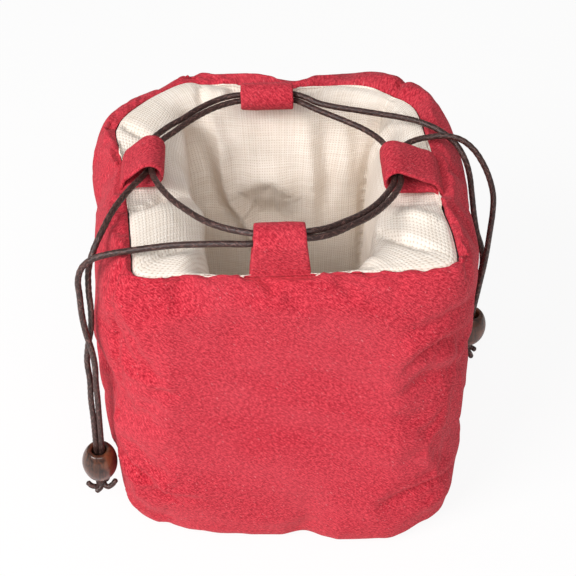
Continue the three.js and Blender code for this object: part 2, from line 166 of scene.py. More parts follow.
# A pattern on a flat cloth is never stretched across its plane, so its third size is one metre.
FLAT = 1000


def stretched_noise(tree, place, turn, size, **settings):
    """Noise drawn out along one way: turn is in degrees about each axis, and size in millimetres."""
    mapped = put(tree, "ShaderNodeMapping", {
        "Vector": place, "Rotation": [math.radians(angle) for angle in turn],
        "Scale": [length * MM for length in size]}, vector_type="TEXTURE")
    return put(tree, "ShaderNodeTexNoise", {"Vector": mapped, "Scale": 1.0, **settings})


def colour_stops(ramp, *stops):
    """Gives a colour ramp its stops, in order: each a place and a colour. Returns the ramp."""
    found = ramp.color_ramp.elements
    for _ in stops[2:]:
        found.new(0.5)
    for element, (spot, colour) in zip(found, stops):
        element.position = spot
        element.color = linear(colour)
    return ramp


def red_crepe(tree):
    """Cotton crepe dyed red, piece dyed and washed: hard-twisted threads shrink, so the cloth crinkles on the
    slant. The crinkles are about 0.6 mm wide; their hollows are painted darker, as painted shade, and their
    crests lighter, as painted light. A few pale slubs stay undyed. Matte, with a faint bloom."""
    place = put(tree, "ShaderNodeUVMap", uv_map="cloth")

    def crinkle(turn, long, short, detail):
        return stretched_noise(tree, place, (0, 0, turn), (long, short, FLAT), Detail=detail, Roughness=0.55,
                               Distortion=0.4)

    both = put(tree, "ShaderNodeMix", {0: 0.3, 2: crinkle(-40, 1.5, 0.54, 1.5), 3: crinkle(38, 1.2, 0.56, 1)},
               data_type="FLOAT")
    height = put(tree, "ShaderNodeMix", {0: 0.24, 2: both, 3: crinkle(0, 0.5, 0.5, 1)}, data_type="FLOAT")
    # The crinkles' hollows are painted darker and their crests lighter: painted shade and painted light in the
    # colour.
    coloured = colour_stops(put(tree, "ShaderNodeValToRGB", {0: height}),
                        (0.4, "#961727"), (0.5, "#bb2d3c"), (0.6, "#da4450"))
    bloom = put(tree, "ShaderNodeMapRange", {0: crinkle(-20, 46, 22, 3), 1: 0.36, 2: 0.68, 3: 0.0, 4: 0.3})
    faded = put(tree, "ShaderNodeMix", {0: bloom, 6: coloured, 7: linear("#cf525d")}, data_type="RGBA")
    slub = put(tree, "ShaderNodeMapRange", {0: crinkle(-55, 1.7, 0.45, 0), 1: 0.77, 2: 0.82, 3: 0.0, 4: 0.42})
    colour = put(tree, "ShaderNodeMix", {0: slub, 6: faded.outputs[2], 7: linear("#ee9a9d")},
                 data_type="RGBA")
    bump = put(tree, "ShaderNodeBump", {"Height": height, "Strength": 0.8, "Distance": 0.0006})
    return {"Base Color": colour.outputs[2], "Normal": bump, "Roughness": 0.92, "Specular IOR Level": 0.15,
            "Sheen Weight": 0.17, "Sheen Roughness": 0.5, "Sheen Tint": linear("#f09a9e")}


def undyed_linen(tree):
    """Undyed cotton-linen, plain woven and open: one thread over, one under. The eye sees a fine square grid
    with pinholes at the crossings, about 0.95 mm apart, painted darker as painted shade, and here and there a
    thicker thread."""
    pitch = 0.95 * MM
    place = put(tree, "ShaderNodeUVMap", uv_map="cloth")
    wander = put(tree, "ShaderNodeTexNoise", {"Vector": place, "Scale": 120.0, "Detail": 2.0})
    off = put(tree, "ShaderNodeVectorMath", {0: wander.outputs[1], 1: (0.5, 0.5, 0.5)}, operation="SUBTRACT")
    drift = put(tree, "ShaderNodeVectorMath", {0: off, "Scale": 0.0011}, operation="SCALE")
    bent = put(tree, "ShaderNodeVectorMath", {0: place, 1: drift}, operation="ADD")
    axes = put(tree, "ShaderNodeSeparateXYZ", {0: bent})
    waves, threads, gaps = [], [], []
    for axis in axes.outputs[:2]:
        angle = put(tree, "ShaderNodeMath", {0: axis, 1: math.pi / pitch}, operation="MULTIPLY")
        waves.append(put(tree, "ShaderNodeMath", {0: angle}, operation="SINE"))
        threads.append(put(tree, "ShaderNodeMath", {0: waves[-1]}, operation="ABSOLUTE"))
        gaps.append(put(tree, "ShaderNodeMath", {0: 1.0, 1: threads[-1]}, operation="SUBTRACT"))
    crossing = put(tree, "ShaderNodeMath", dict(enumerate(waves)), operation="MULTIPLY")
    over = put(tree, "ShaderNodeMapRange", {0: crossing, 1: -0.5, 2: 0.5})
    height = put(tree, "ShaderNodeMix", {0: over, 2: threads[0], 3: threads[1]}, data_type="FLOAT")
    hole = put(tree, "ShaderNodeMath", dict(enumerate(gaps)), operation="MULTIPLY")

    def streak(turn):
        found = stretched_noise(tree, place, (0, 0, turn), (16, 0.9, FLAT), Detail=1.0)
        return put(tree, "ShaderNodeMapRange", {0: found, 1: 0.3, 2: 0.72, 3: -0.22, 4: 0.22})

    streaks = put(tree, "ShaderNodeMath", {0: streak(0), 1: streak(90)}, operation="ADD")
    mottle = put(tree, "ShaderNodeTexNoise", {"Vector": place, "Scale": 40.0, "Detail": 3.0})
    tone = put(tree, "ShaderNodeMath", {0: streaks, 1: mottle}, operation="ADD")
    cloth = put(tree, "ShaderNodeMix", {0: tone, 6: linear("#eadccd"), 7: linear("#fcf3e9")},
                data_type="RGBA", clamp_factor=True)
    # The pinholes between the threads are painted darker: painted shade in the gaps.
    dark = put(tree, "ShaderNodeMapRange", {0: hole, 1: 0.12, 2: 0.6, 3: 0.0, 4: 0.6})
    colour = put(tree, "ShaderNodeMix", {0: dark, 6: cloth.outputs[2], 7: linear("#c0a893")},
                 data_type="RGBA")
    faint = put(tree, "ShaderNodeMath", {0: tone, 1: 0.4}, operation="MULTIPLY")
    relief = put(tree, "ShaderNodeMath", {0: height, 1: faint}, operation="ADD")
    bump = put(tree, "ShaderNodeBump", {"Height": relief, "Strength": 0.6, "Distance": 0.0003})
    return {"Base Color": colour.outputs[2], "Normal": bump, "Roughness": 0.9, "Specular IOR Level": 0.2,
            "Sheen Weight": 0.1, "Sheen Roughness": 0.6, "Sheen Tint": linear("#fffaf2")}


def cotton_wadding(tree):
    """Carded cotton wadding: loose white fibre, matte, with soft clumps. It is hidden between the fabrics."""
    place = put(tree, "ShaderNodeTexCoord").outputs["Object"]
    clumps = put(tree, "ShaderNodeTexNoise", {"Vector": place, "Scale": 300.0, "Detail": 4.0})
    colour = put(tree, "ShaderNodeMix", {0: clumps, 6: linear("#e9e5dc"), 7: linear("#fbfaf6")},
                 data_type="RGBA")
    bump = put(tree, "ShaderNodeBump", {"Height": clumps, "Strength": 0.6, "Distance": 0.001})
    return {"Base Color": colour.outputs[2], "Normal": bump, "Roughness": 1.0}


def satin_braid(tree):
    """Braided satin cord of dark brown filament. The braid's crossing strands are painted lighter as small
    dashes, a painted highlight where they catch light, and the rest stays nearly black brown."""
    place = put(tree, "ShaderNodeUVMap", uv_map="cloth")
    ways = [stretched_noise(tree, place, (0, 0, slope), (2.6, 0.5, FLAT), Detail=1.0, Distortion=0.2)
            for slope in (62, 118)]
    both = put(tree, "ShaderNodeMath", dict(enumerate(ways)), operation="MAXIMUM")
    fibre = put(tree, "ShaderNodeTexNoise", {"Vector": place, "Scale": 1800.0, "Detail": 2.0})
    tone = put(tree, "ShaderNodeMix", {0: 0.25, 2: both, 3: fibre}, data_type="FLOAT")
    # The lighter end of this ramp is a painted highlight on the braid's crossing strands.
    coloured = colour_stops(put(tree, "ShaderNodeValToRGB", {0: tone}),
                        (0.42, "#241412"), (0.56, "#3b2521"), (0.68, "#70504a"))
    bump = put(tree, "ShaderNodeBump", {"Height": tone, "Strength": 0.8, "Distance": 0.0003})
    return {"Base Color": coloured, "Normal": bump, "Roughness": 0.42, "Specular IOR Level": 0.45,
            "Sheen Weight": 0.08, "Sheen Roughness": 0.35, "Sheen Tint": linear("#c9a9a4")}


def stained_wood(tree):
    """Beech turned on a lathe, stained dark brown and lacquered. The grain runs along the bead, and where the
    stain is thin the wood shows orange brown."""
    place = put(tree, "ShaderNodeTexCoord").outputs["Object"]
    mapped = put(tree, "ShaderNodeMapping", {
        "Vector": place, "Rotation": (math.radians(14), math.radians(20), 0), "Scale": (700.0, 700.0, 110.0)})
    grain = put(tree, "ShaderNodeTexNoise", {"Vector": mapped, "Scale": 1.0, "Detail": 4.0, "Roughness": 0.6,
                                             "Distortion": 0.8})
    thin = put(tree, "ShaderNodeTexNoise", {"Vector": place, "Scale": 130.0, "Detail": 2.0})
    stain = colour_stops(put(tree, "ShaderNodeValToRGB", {0: grain}), (0.34, "#200e08"), (0.72, "#643823"))
    worn = put(tree, "ShaderNodeMapRange", {0: thin, 1: 0.56, 2: 0.72, 3: 0.0, 4: 0.4})
    colour = put(tree, "ShaderNodeMix", {0: worn, 6: stain, 7: linear("#965a3a")}, data_type="RGBA")
    bump = put(tree, "ShaderNodeBump", {"Height": grain, "Strength": 0.25, "Distance": 0.0002})
    return {"Base Color": colour.outputs[2], "Normal": bump, "Roughness": 0.4, "Specular IOR Level": 0.35,
            "Coat Weight": 0.6, "Coat Roughness": 0.08}


def sewing_thread(tree):
    """Red polyester sewing thread, spun and twisted: each stitch shows fine slanting plies and a
    soft shine."""
    place = put(tree, "ShaderNodeTexCoord").outputs["Object"]
    plies = stretched_noise(tree, place, (0, 35, 35), (0.5, 0.12, 0.12), Detail=1.0)
    colour = put(tree, "ShaderNodeMix", {0: plies, 6: linear("#a3202f"), 7: linear("#d94a58")},
                 data_type="RGBA")
    bump = put(tree, "ShaderNodeBump", {"Height": plies, "Strength": 0.6, "Distance": 0.0001})
    return {"Base Color": colour.outputs[2], "Normal": bump, "Roughness": 0.5, "Specular IOR Level": 0.4}


RED_CREPE = surface("red_cotton_crepe", red_crepe)
THREAD = surface("red_polyester_sewing_thread", sewing_thread)
LINEN = surface("undyed_plain_woven_linen", undyed_linen)
WADDING = surface("carded_cotton_wadding", cotton_wadding)
SATIN_BRAID = surface("braided_satin_cord", satin_braid)
STAINED_WOOD = surface("stained_lacquered_beech", stained_wood)


# Cords.

CORD_RADIUS = 1.1
LEFT_CORD_RING = (
    (-45.6, 2.25, 136.3), (-45.1, 6.5, 136.9), (-44.2, 11.3, 137.7), (-38, 19.2, 137.9), (-33.5, 24.5, 138),
    (-28.2, 29.8, 138.1), (-22.8, 34, 138.1), (-17.5, 36.8, 138), (-14, 37.8, 138), (-4, 37.9, 138),
    (6, 37.7, 138), (9.9, 35, 138), (13.8, 31.9, 137.8), (19.2, 27.9, 137.7), (24.5, 24.2, 137.5),
    (31.5, 18.7, 137.2), (36.4, 12.8, 136.9), (38.9, 6.5, 136.8), (38.9, -3.5, 137.3), (38.9, -13.5, 137.9),
    (36.4, -20.1, 139), (31.5, -29.1, 140.7), (25.9, -36.3, 142.3), (20.6, -41.3, 143.8),
    (13.9, -46.9, 145.5), (8.2, -49.8, 146.7), (3.2, -50, 145.9), (-1.8, -49.8, 144.55))
RIGHT_CORD_RING = (
    (41.2, -3.5, 135.9), (41.4, -8.5, 136.9), (41.3, -13.5, 138), (38.7, -21.4, 139.2), (33.6, -30.5, 140.8),
    (27.8, -38, 142.3), (22.3, -43.2, 143.6), (15.4, -49.1, 145), (8.2, -52.3, 146), (-1.8, -51.8, 146.7),
    (-11.8, -50.2, 147), (-17.2, -47.9, 146.5), (-22.8, -44.3, 145.7), (-28, -39.4, 144.8),
    (-31.5, -34.9, 144), (-37, -26.9, 142.5), (-42.4, -15.5, 140.4), (-44.9, -7.2, 139.1),
    (-46.2, 2, 139), (-47, 7, 138.9), (-46.7, 11.8, 138.7), (-41, 20.8, 138.4), (-35.4, 26.2, 138.5),
    (-29.9, 31.7, 138.8), (-24.1, 36.1, 139.1), (-18.6, 38.6, 139.5), (-14, 39.3, 139.7), (-4, 39.3, 139.85))
LEFT_CORD_SIDE = (
    (-45.6, 2.25, 136.3), (-47.2, -3, 136.5), (-49.2, -7.2, 136.8), (-51.6, -11.5, 137), (-54.8, -18, 137),
    (-58, -26, 136.8), (-60.9, -33.5, 134.9), (-63.6, -38.6, 131.3), (-65.5, -42.2, 126.2),
    (-66.2, -44.2, 118.2), (-66.3, -44.7, 110), (-67.1, -44.9, 101.5), (-69, -44.7, 93), (-70.3, -44.6, 84.5),
    (-70.2, -45.2, 76), (-70.8, -45.8, 66), (-71, -45.8, 56), (-72.35, -45.7, 24.4))
LEFT_CORD_FRONT = (
    (-1.8, -49.8, 144.55), (-6.5, -50.5, 143.4), (-11.8, -50.9, 142.9), (-19.5, -49.9, 142.3),
    (-27.6, -48.8, 141.4), (-35.8, -47.6, 140.2), (-44, -46.8, 138.6), (-51, -46.4, 137.2),
    (-57.5, -46.4, 136), (-62.8, -46.4, 134.2), (-66.8, -46.4, 130.6), (-68.8, -46.5, 125),
    (-69, -46.7, 118.2), (-69.1, -47.3, 110), (-68.6, -47.6, 101.5), (-67.6, -47.4, 93), (-67.3, -47.2, 84.5),
    (-67.9, -46.9, 76), (-68.3, -46.3, 66), (-68.8, -46.2, 56), (-70.2, -46.3, 24.4))
RIGHT_CORD_FRONT = (
    (41.2, -3.5, 135.9), (41.7, 1.5, 136), (42.8, 6.5, 136.3), (45.5, 10.2, 136.4), (50, 12.8, 136.6),
    (55.5, 13.8, 137), (61, 13.2, 137.6), (66, 11.6, 136.9), (70.3, 9.4, 134.2), (73.9, 6.8, 129.6),
    (76.6, 4.4, 124), (78.2, 2.4, 118), (78.4, 0.6, 111.5), (78.1, -0.6, 105.5), (77.9, -1.1, 100.2),
    (77.8, -1.15, 94), (77.5, -1.15, 87), (76.9, -1.15, 79), (74.4, -1.15, 46.9))
RIGHT_CORD_BACK = (
    (-4, 39.3, 139.85), (1.5, 39.3, 139.9), (6, 38.8, 140), (10.3, 36.4, 140), (15.2, 33, 139.6),
    (21, 31, 139.2), (30.3, 28.8, 138.7), (37.7, 27.3, 138.1), (45, 25.8, 137.5), (52.2, 23.4, 136.9),
    (58.9, 18.9, 136.1), (64.6, 14.8, 133), (68, 11.3, 128.4), (69.9, 9, 122.9), (71.3, 7, 115),
    (72.7, 5.2, 106.7), (74.1, 3.2, 100.2), (76.2, 2, 94), (77.3, 1.2, 87), (76.9, 1.15, 79),
    (74.4, 1.15, 46.9))


def smooth_path(points, step):
    """Points at an even step along a centripetal Catmull-Rom curve through the given points."""
    p = np.asarray(points, float)
    p = np.vstack([2 * p[0] - p[1], p, 2 * p[-1] - p[-2]])
    found = []
    for i in range(1, len(p) - 2):
        steps = [max(np.linalg.norm(p[i + k] - p[i + k - 1]), 1e-6) ** 0.5 for k in (0, 1, 2)]
        knots = np.cumsum([0] + steps)
        t = np.linspace(knots[1], knots[2], 24, endpoint=False)[:, None]
        a = [(knots[k + 1] - t) / (knots[k + 1] - knots[k]) * p[i - 1 + k]
             + (t - knots[k]) / (knots[k + 1] - knots[k]) * p[i + k] for k in range(3)]
        b = [(knots[k + 2] - t) / (knots[k + 2] - knots[k]) * a[k]
             + (t - knots[k]) / (knots[k + 2] - knots[k]) * a[k + 1] for k in range(2)]
        found.append((knots[2] - t) / (knots[2] - knots[1]) * b[0]
                     + (t - knots[1]) / (knots[2] - knots[1]) * b[1])
    line = np.vstack(found + [p[-2:-1]])
    length = np.concatenate([[0], np.cumsum(np.linalg.norm(np.diff(line, axis=0), axis=1))])
    at = np.linspace(0, length[-1], max(4, int(round(length[-1] / step))) + 1)
    return np.stack([np.interp(at, length, line[:, k]) for k in range(3)], 1)


def carried_frames(path):
    """Two directions across a path at each of its points, carried along it without twisting."""
    along = np.gradient(path, axis=0)
    along /= np.linalg.norm(along, axis=1)[:, None]
    side = np.cross(along[0], (0.13, 0.2, 1.0))
    sides = []
    for direction in along:
        side = side - direction * (side @ direction)
        side = side / np.linalg.norm(side)
        sides.append(side)
    sides = np.array(sides)
    return sides, np.cross(along, sides)


CORD_SIDES = 16
CORD_STEP = 0.45
BRAID_STRANDS = 3
BRAID_PITCH = 2.6
BRAID_RELIEF = 0.05


def cord_mesh(name, path, radius=CORD_RADIUS):
    """A braided tube along a path: strands wind both ways round it, and each stands a little proud."""
    across, up = carried_frames(path)
    length = np.concatenate([[0], np.cumsum(np.linalg.norm(np.diff(path, axis=0), axis=1))])
    sides = CORD_SIDES
    turn = 2 * math.pi * np.arange(sides) / sides
    winding = 2 * math.pi * length[:, None] / BRAID_PITCH
    lift = np.maximum(np.sin(BRAID_STRANDS * turn + winding), np.sin(BRAID_STRANDS * turn - winding))
    end = np.minimum(length, length[-1] - length)[:, None]
    taper = np.sqrt(np.clip(1 - (1 - np.clip(end / (0.6 * radius), 0, 1)) ** 2, 0.12, 1))
    reach = radius * (1 + BRAID_RELIEF * (lift - 0.6)) * taper
    rings = (path[:, None] + reach[..., None] * (np.cos(turn)[:, None] * across[:, None]
                                                 + np.sin(turn)[:, None] * up[:, None]))
    count = len(path)
    vertices = np.vstack([rings.reshape(-1, 3), path[:1], path[-1:]])
    faces = grid_faces(count, sides)
    around = np.arange(sides + 1) * 2 * math.pi * radius / sides
    uv = [(around[j + right], length[i + on]) for i in range(count - 1) for j in range(sides)
          for right, on in ((0, 0), (1, 0), (1, 1), (0, 1))]
    last = (count - 1) * sides
    for j in range(sides):
        k = (j + 1) % sides
        faces += [(count * sides, k, j), (count * sides + 1, last + j, last + k)]
    uv += [(0, 0)] * 6 * sides
    return mesh_object(name, vertices, faces, SATIN_BRAID, uv)


def drawstring(name, route, nodes, bend=None):
    """One length of cord. With bend, it is left on no body; the two bodies and the two heights that bend names
    are not used.
    """
    path = smooth_path(route, CORD_STEP)
    piece = cord_mesh(name, path)
    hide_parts(*nodes)
    if bend:
        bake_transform(piece)
    else:
        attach(piece, "bag")
    return piece


# Beads and knots.

BEAD_RADIUS = 6.7
BEAD_HALF = 7.0
BORE_RADIUS = 2.7
BEAD_EDGE = 0.8
BEAD_SIDES = 64
KNOT_RADIUS = 3.1
KNOT_GAP = 0.35
KNOT_STEP = 0.4
WRAP_SCALE = 0.78
CORE_RADIUS = 1.5
END_RADIUS = 1.05
LEFT_BEAD = ((-71, -46, 31.5), 2.6)
RIGHT_BEAD = ((75, 0, 54), 4.6)
LEFT_BEAD_RISE = 32
RIGHT_BEAD_RISE = 22


def bead_place(bead):
    """Where a bead's middle is, and how its strands lean."""
    (x, y, z), lean = bead
    return Matrix.Translation((x, y, z)) @ Matrix.Rotation(math.radians(lean), 4, "Y")


def wooden_bead(name, bead):
    """A turned barrel with a bore, worn edges and a slightly uneven round."""
    mouth = BORE_RADIUS + BEAD_EDGE
    end_angle = math.asin((mouth + BEAD_EDGE) / BEAD_RADIUS)
    profile = [(BEAD_RADIUS * math.sin(angle), -math.cos(angle) / math.cos(end_angle) * BEAD_HALF)
               for angle in np.linspace(end_angle, math.pi - end_angle, 23)]
    lip = [(mouth - BEAD_EDGE * math.sin(angle), BEAD_HALF - BEAD_EDGE * (1 - math.cos(angle)))
           for angle in np.radians((25, 50, 75, 90))]
    profile += lip + [(BORE_RADIUS, height) for height in (4.0, 0.0, -4.0)]
    profile += [(radius, -height) for radius, height in reversed(lip)]
    place = bead_place(bead)
    vertices = []
    for radius, height in profile:
        for turn in 2 * math.pi * np.arange(BEAD_SIDES) / BEAD_SIDES:
            spot = Vector((radius * math.cos(turn), radius * math.sin(turn), height))
            wobble = 1 + 0.012 * noise.noise(spot * 0.22 + Vector((3.1, bead[0][2], 0)))
            vertices.append(place @ Vector((spot.x * wobble, spot.y * wobble, spot.z)))
    faces = grid_faces(len(profile), BEAD_SIDES, shut=True)
    piece = mesh_object(name + "_wooden_bead", vertices, faces, STAINED_WOOD)
    return dress(piece, name + "_bead", name + "_bead")


def knot_centre(bead):
    (x, y, z), lean = bead
    under = BEAD_HALF + KNOT_GAP + 0.8 * KNOT_RADIUS
    return np.array([x - under * math.sin(math.radians(lean)), y, z - under * math.cos(math.radians(lean))])


def overhand_knot(name, bead, ends):
    """Two cords tied in one overhand knot: the wraps lie round each other, and the cut ends stand out."""
    centre = knot_centre(bead)
    turn = np.linspace(0, 2 * math.pi, 121)
    wrap = np.stack([np.sin(turn) + 2 * np.sin(2 * turn), np.cos(turn) - 2 * np.cos(2 * turn),
                     -1.25 * np.sin(3 * turn)], 1) * WRAP_SCALE
    middle = np.array([(0.3, 0, 2.4), (0.2, 0.2, 0.8), (-0.2, 0.1, -0.8), (0, 0, -2.0)])
    core = smooth_path(centre + middle, KNOT_STEP)
    parts = [cord_mesh("wraps", centre + wrap), cord_mesh("core", core, CORE_RADIUS)]
    parts += [cord_mesh("end", smooth_path(centre + np.array(end), KNOT_STEP), END_RADIUS) for end in ends]
    return dress(joined(parts, name + "_overhand_knot"), name + "_knot", name + "_tail")


def joined(parts, name):
    """Several mesh objects as one."""
    bpy.ops.object.select_all(action="DESELECT")
    for part in parts:
        part.select_set(True)
    bpy.context.view_layer.objects.active = parts[0]
    bpy.ops.object.join()
    made = bpy.context.view_layer.objects.active
    made.name = name
    return made


left_bead = wooden_bead("left", LEFT_BEAD)
right_bead = wooden_bead("right", RIGHT_BEAD)
left_knot = overhand_knot("left", LEFT_BEAD, (
    ((0, 0, -1), (-1.8, -2.4, -2.4), (-3.8, -2.6, -1.6), (-5.4, -1.8, -0.2)),
    ((0, 0, -1), (2.2, -2.6, -2.6), (4.2, -2.6, -1.4), (6, -1.4, 0.4)),
    ((0.6, -0.6, -1.2), (-0.6, -2.8, -3.2), (-2.4, -3.4, -4.4))))
right_knot = overhand_knot("right", RIGHT_BEAD, (
    ((0, 0, -1), (1.6, -1.6, -2.8), (2.6, -2, -4.6), (3.2, -2, -6.2)),
    ((0, 0, -1), (2.0, 1.2, -2.4), (3.6, 0.6, -3.4), (5.0, -0.6, -3.6))))

drawstring("left_drawstring_ring", LEFT_CORD_RING, ["left_cord_ring"])
drawstring("right_drawstring_ring", RIGHT_CORD_RING, ["right_cord_ring"])
drawstring("left_drawstring_side_end", LEFT_CORD_SIDE, ["left_cord_side_run", "left_tail_side_strand"],
           ("bag", "left_tail", 124, 112))
drawstring("left_drawstring_front_end", LEFT_CORD_FRONT, ["left_cord_front_run", "left_tail_front_strand"],
           ("bag", "left_tail", 124, 112))
drawstring("right_drawstring_front_end", RIGHT_CORD_FRONT, ["right_cord_front_run", "right_tail_front_strand"],
           ("bag", "right_tail", 106, 94))
drawstring("right_drawstring_back_end", RIGHT_CORD_BACK, ["right_cord_back_run", "right_tail_back_strand"],
           ("bag", "right_tail", 106, 94))


# The bag's skin.

COLUMNS = 168
MIDDLE = np.array([-1.8, 0.0])
# Height, then how far the wall stands to the left, right, front and back of the middle, and how square it is.
BODY = np.array((
    (0, 58.5, 64.5, 62, 60, 4.5), (10, 62.5, 68, 66.5, 63, 5.5), (30, 63.5, 68, 65, 65, 7),
    (60, 65.0, 67.8, 63.5, 66, 7), (90, 64.6, 68, 62, 66, 6)))
FRONT_LEFT_SQUARENESS = 6
# Points on the wall's plan at the shoulder, where the rim begins, and on the mouth seam.
SHOULDER_HEIGHT = 114
SHOULDER = (
    (67.3, 0), (66.8, 35), (59, 57), (43.5, 69.5), (33.5, 71), (6, 67), (-24, 70), (-33, 71.5), (-50.5, 58),
    (-67.2, 39), (-68.8, 26), (-65.8, 0), (-62.8, -40), (-56, -57), (-30, -60.5), (30, -61), (59, -55),
    (65.2, -38))
MOUTH = (
    (55.6, -3.5), (54.6, 13), (51.6, 38), (44.8, 45.8), (32.4, 53.6), (6, 53.3), (-14.5, 56), (-28.1, 57.4),
    (-35.5, 58.6), (-51.9, 45.5), (-60.2, 30.5), (-58.4, 16.3), (-55.6, 2), (-52.7, -24), (-50.6, -44.5),
    (-49.6, -52.5), (-47, -54.8), (-30, -54.7), (-1.8, -54.5), (30, -54.2), (52, -53.8), (56, -51.5), (57, -38),
    (55, -20))
RIM_RISE = 20
ROLL_TURN = 115
# Bearings from the middle, and how much more the rim rises there.
RIM_LIFT = ((-180, 0), (20, 0), (38, 2.6), (52, 2.2), (64, 0.8), (74, 2.2), (96, 2.6), (108, 1.4), (116, 0.6),
            (127, -1.6), (138, 0), (180, 0))
# How far the lower front is set back, by x. It is full at the base and at the front, and fades to nothing
# at a height of SET_BACK_TOP and at the middle of the sides.
SET_BACK = ((-68, 3), (-60, 5.5), (-54, 7.0), (-46, 8.2), (-38, 6.4), (-28, 4.9), (-14, 3.8), (-2, 3.4),
            (4, 4.6), (8, 5.0), (13, 2.6), (20, 0.3), (30, 0), (40, -0.6), (46, 0.8), (52, 3), (58, 2),
            (62, 0.5))
SET_BACK_TOP = 35
SET_BACK_FADE = 25
SET_BACK_FRONT = 50
# The wall's rounding at the base, and shares of the way from the middle where the base and the floor have
# rings.
FOOT_ROUND = 10
BASE_SHARES = (0.12, 0.3, 0.5, 0.7, 0.86, 0.96)
FLOOR_SHARES = (0.94, 0.78, 0.55, 0.3, 0.1)
# The plan of the edge where the padding turns down into the bag, and of the lining below it.
PAD_EDGE = (
    (38.5, 0), (39, 15), (40, 30), (38.5, 40), (32, 44), (10, 44), (-10, 44), (-26, 45), (-34.5, 42), (-35, 29),
    (-34.5, 15), (-33.5, 3), (-30.5, -7), (-28, -13), (-27.5, -22), (-26.5, -34), (-24, -41.5), (-14, -43),
    (0, -43.5), (14, -43), (24, -42.5), (28, -39.5), (30.5, -30), (33.5, -18), (36, -9))
LINING = (
    (36.5, 0), (37, 18), (36.5, 33), (34.5, 40), (28, 40.5), (10, 39.5), (-10, 39.5), (-27, 40.5), (-34, 39.5),
    (-36, 33), (-36, 16), (-35.5, 0), (-33.5, -16), (-30, -28), (-25, -33), (-12, -34), (12, -34), (26, -33),
    (33, -28), (35.8, -16))
# Shares of the way from the seam to the pad's edge, with the pad's height there at the sides and in front.
PAD = ((0.12, 133.9, 132.9), (0.5, 133.0, 127.2), (0.86, 128.4, 120.6), (1.0, 121.5, 116.8))
# The padding falls away in front, up to this many degrees to either side, and eases out over the last few.
FRONT_SPREAD = 34
FRONT_FADE = 7
# How much lower the padding lies under a loop, how wide that stretch is, and how it fades towards a corner.
LOOP_DIP = 2.8
DIP_SPREAD = 0.42
DIP_FADE = 0.4
LINING_TOP = 101
# The floor's height, how round its edge is, and about how far that edge is from the middle.
FLOOR_HEIGHT = 16.7
FLOOR_ROUND = 7
FLOOR_REACH = 34


def column_angles(count):
    """Angles round the bag, spaced so that points on a square would be even. The first is a back corner."""
    share = np.arange(count) / count * 4
    side = np.floor(share)
    return math.pi + side * math.pi / 2 + np.arctan(2 * (share - side) - 1)


ANGLES = column_angles(COLUMNS)


def outline(left, right, front, back, square):
    """A squared round with its own reach on each of its four sides. Its front left corner is rounder."""
    wide = np.where(np.cos(ANGLES) < 0, left, right)
    deep = np.where(np.sin(ANGLES) < 0, front, back)
    power = np.where((np.cos(ANGLES) < 0) & (np.sin(ANGLES) < 0), min(square, FRONT_LEFT_SQUARENESS), square)
    reach = (np.abs(np.cos(ANGLES) / wide) ** power + np.abs(np.sin(ANGLES) / deep) ** power) ** (-1 / power)
    return MIDDLE + np.stack([np.cos(ANGLES), np.sin(ANGLES)], 1) * reach[:, None]


def drawn_outline(corners):
    """A smooth closed line through points, met by a ray from the middle at each angle."""
    points = np.array(corners + corners[:3], float)
    curve = smooth_path(np.column_stack([points, np.zeros(len(points))]), 0.5)[:, :2] - MIDDLE
    bearing = np.unwrap(np.arctan2(curve[:, 1], curve[:, 0]))
    reach = np.linalg.norm(curve, axis=1)
    order = np.argsort(bearing)
    wanted = bearing.min() + np.mod(ANGLES - bearing.min(), 2 * math.pi)
    found = np.interp(wanted, bearing[order], reach[order])
    return MIDDLE + np.stack([np.cos(ANGLES), np.sin(ANGLES)], 1) * found[:, None]


def level(plan, height):
    """A plan as points in space, at a height."""
    return np.column_stack([plan, np.broadcast_to(height, len(plan))])


def wall_plan(height):
    """The wall's plan at a height."""
    return outline(*(np.interp(height, BODY[:, 0], BODY[:, k]) for k in range(1, 6)))


def away_from_loops():
    """For each column, 0 in the middle of a side, where a loop lies, and 1 at a corner."""
    return eased((np.abs(np.sin(2 * ANGLES)) - DIP_SPREAD) / DIP_FADE)


def in_front():
    """For each column, 1 where the padding falls away in front and 0 at the sides and the back."""
    off = np.abs(np.degrees(np.arctan2(np.cos(ANGLES), -np.sin(ANGLES))))
    return eased((FRONT_SPREAD - off) / FRONT_FADE)


def padding_rings(seam, edge, deep):
    """Rings over the padding: up from the seam, inwards, over its edge and down to the lining's top."""
    front = in_front()
    stops = [seam]
    for share, side, fore in PAD:
        dip = LOOP_DIP * (1 - away_from_loops()) * min(1, (1 - share) / 0.3)
        stops.append(level(seam[:, :2] + (edge - seam[:, :2]) * share, side + (fore - side) * front - dip))
    stops += [level(deep, LINING_TOP), level(deep, LINING_TOP - 12)]
    stops = np.array([2 * stops[0] - stops[1]] + stops)
    return [between(*stops[k - 1:k + 3], t) for k in range(1, len(stops) - 2) for t in (0.25, 0.5, 0.75, 1.0)]


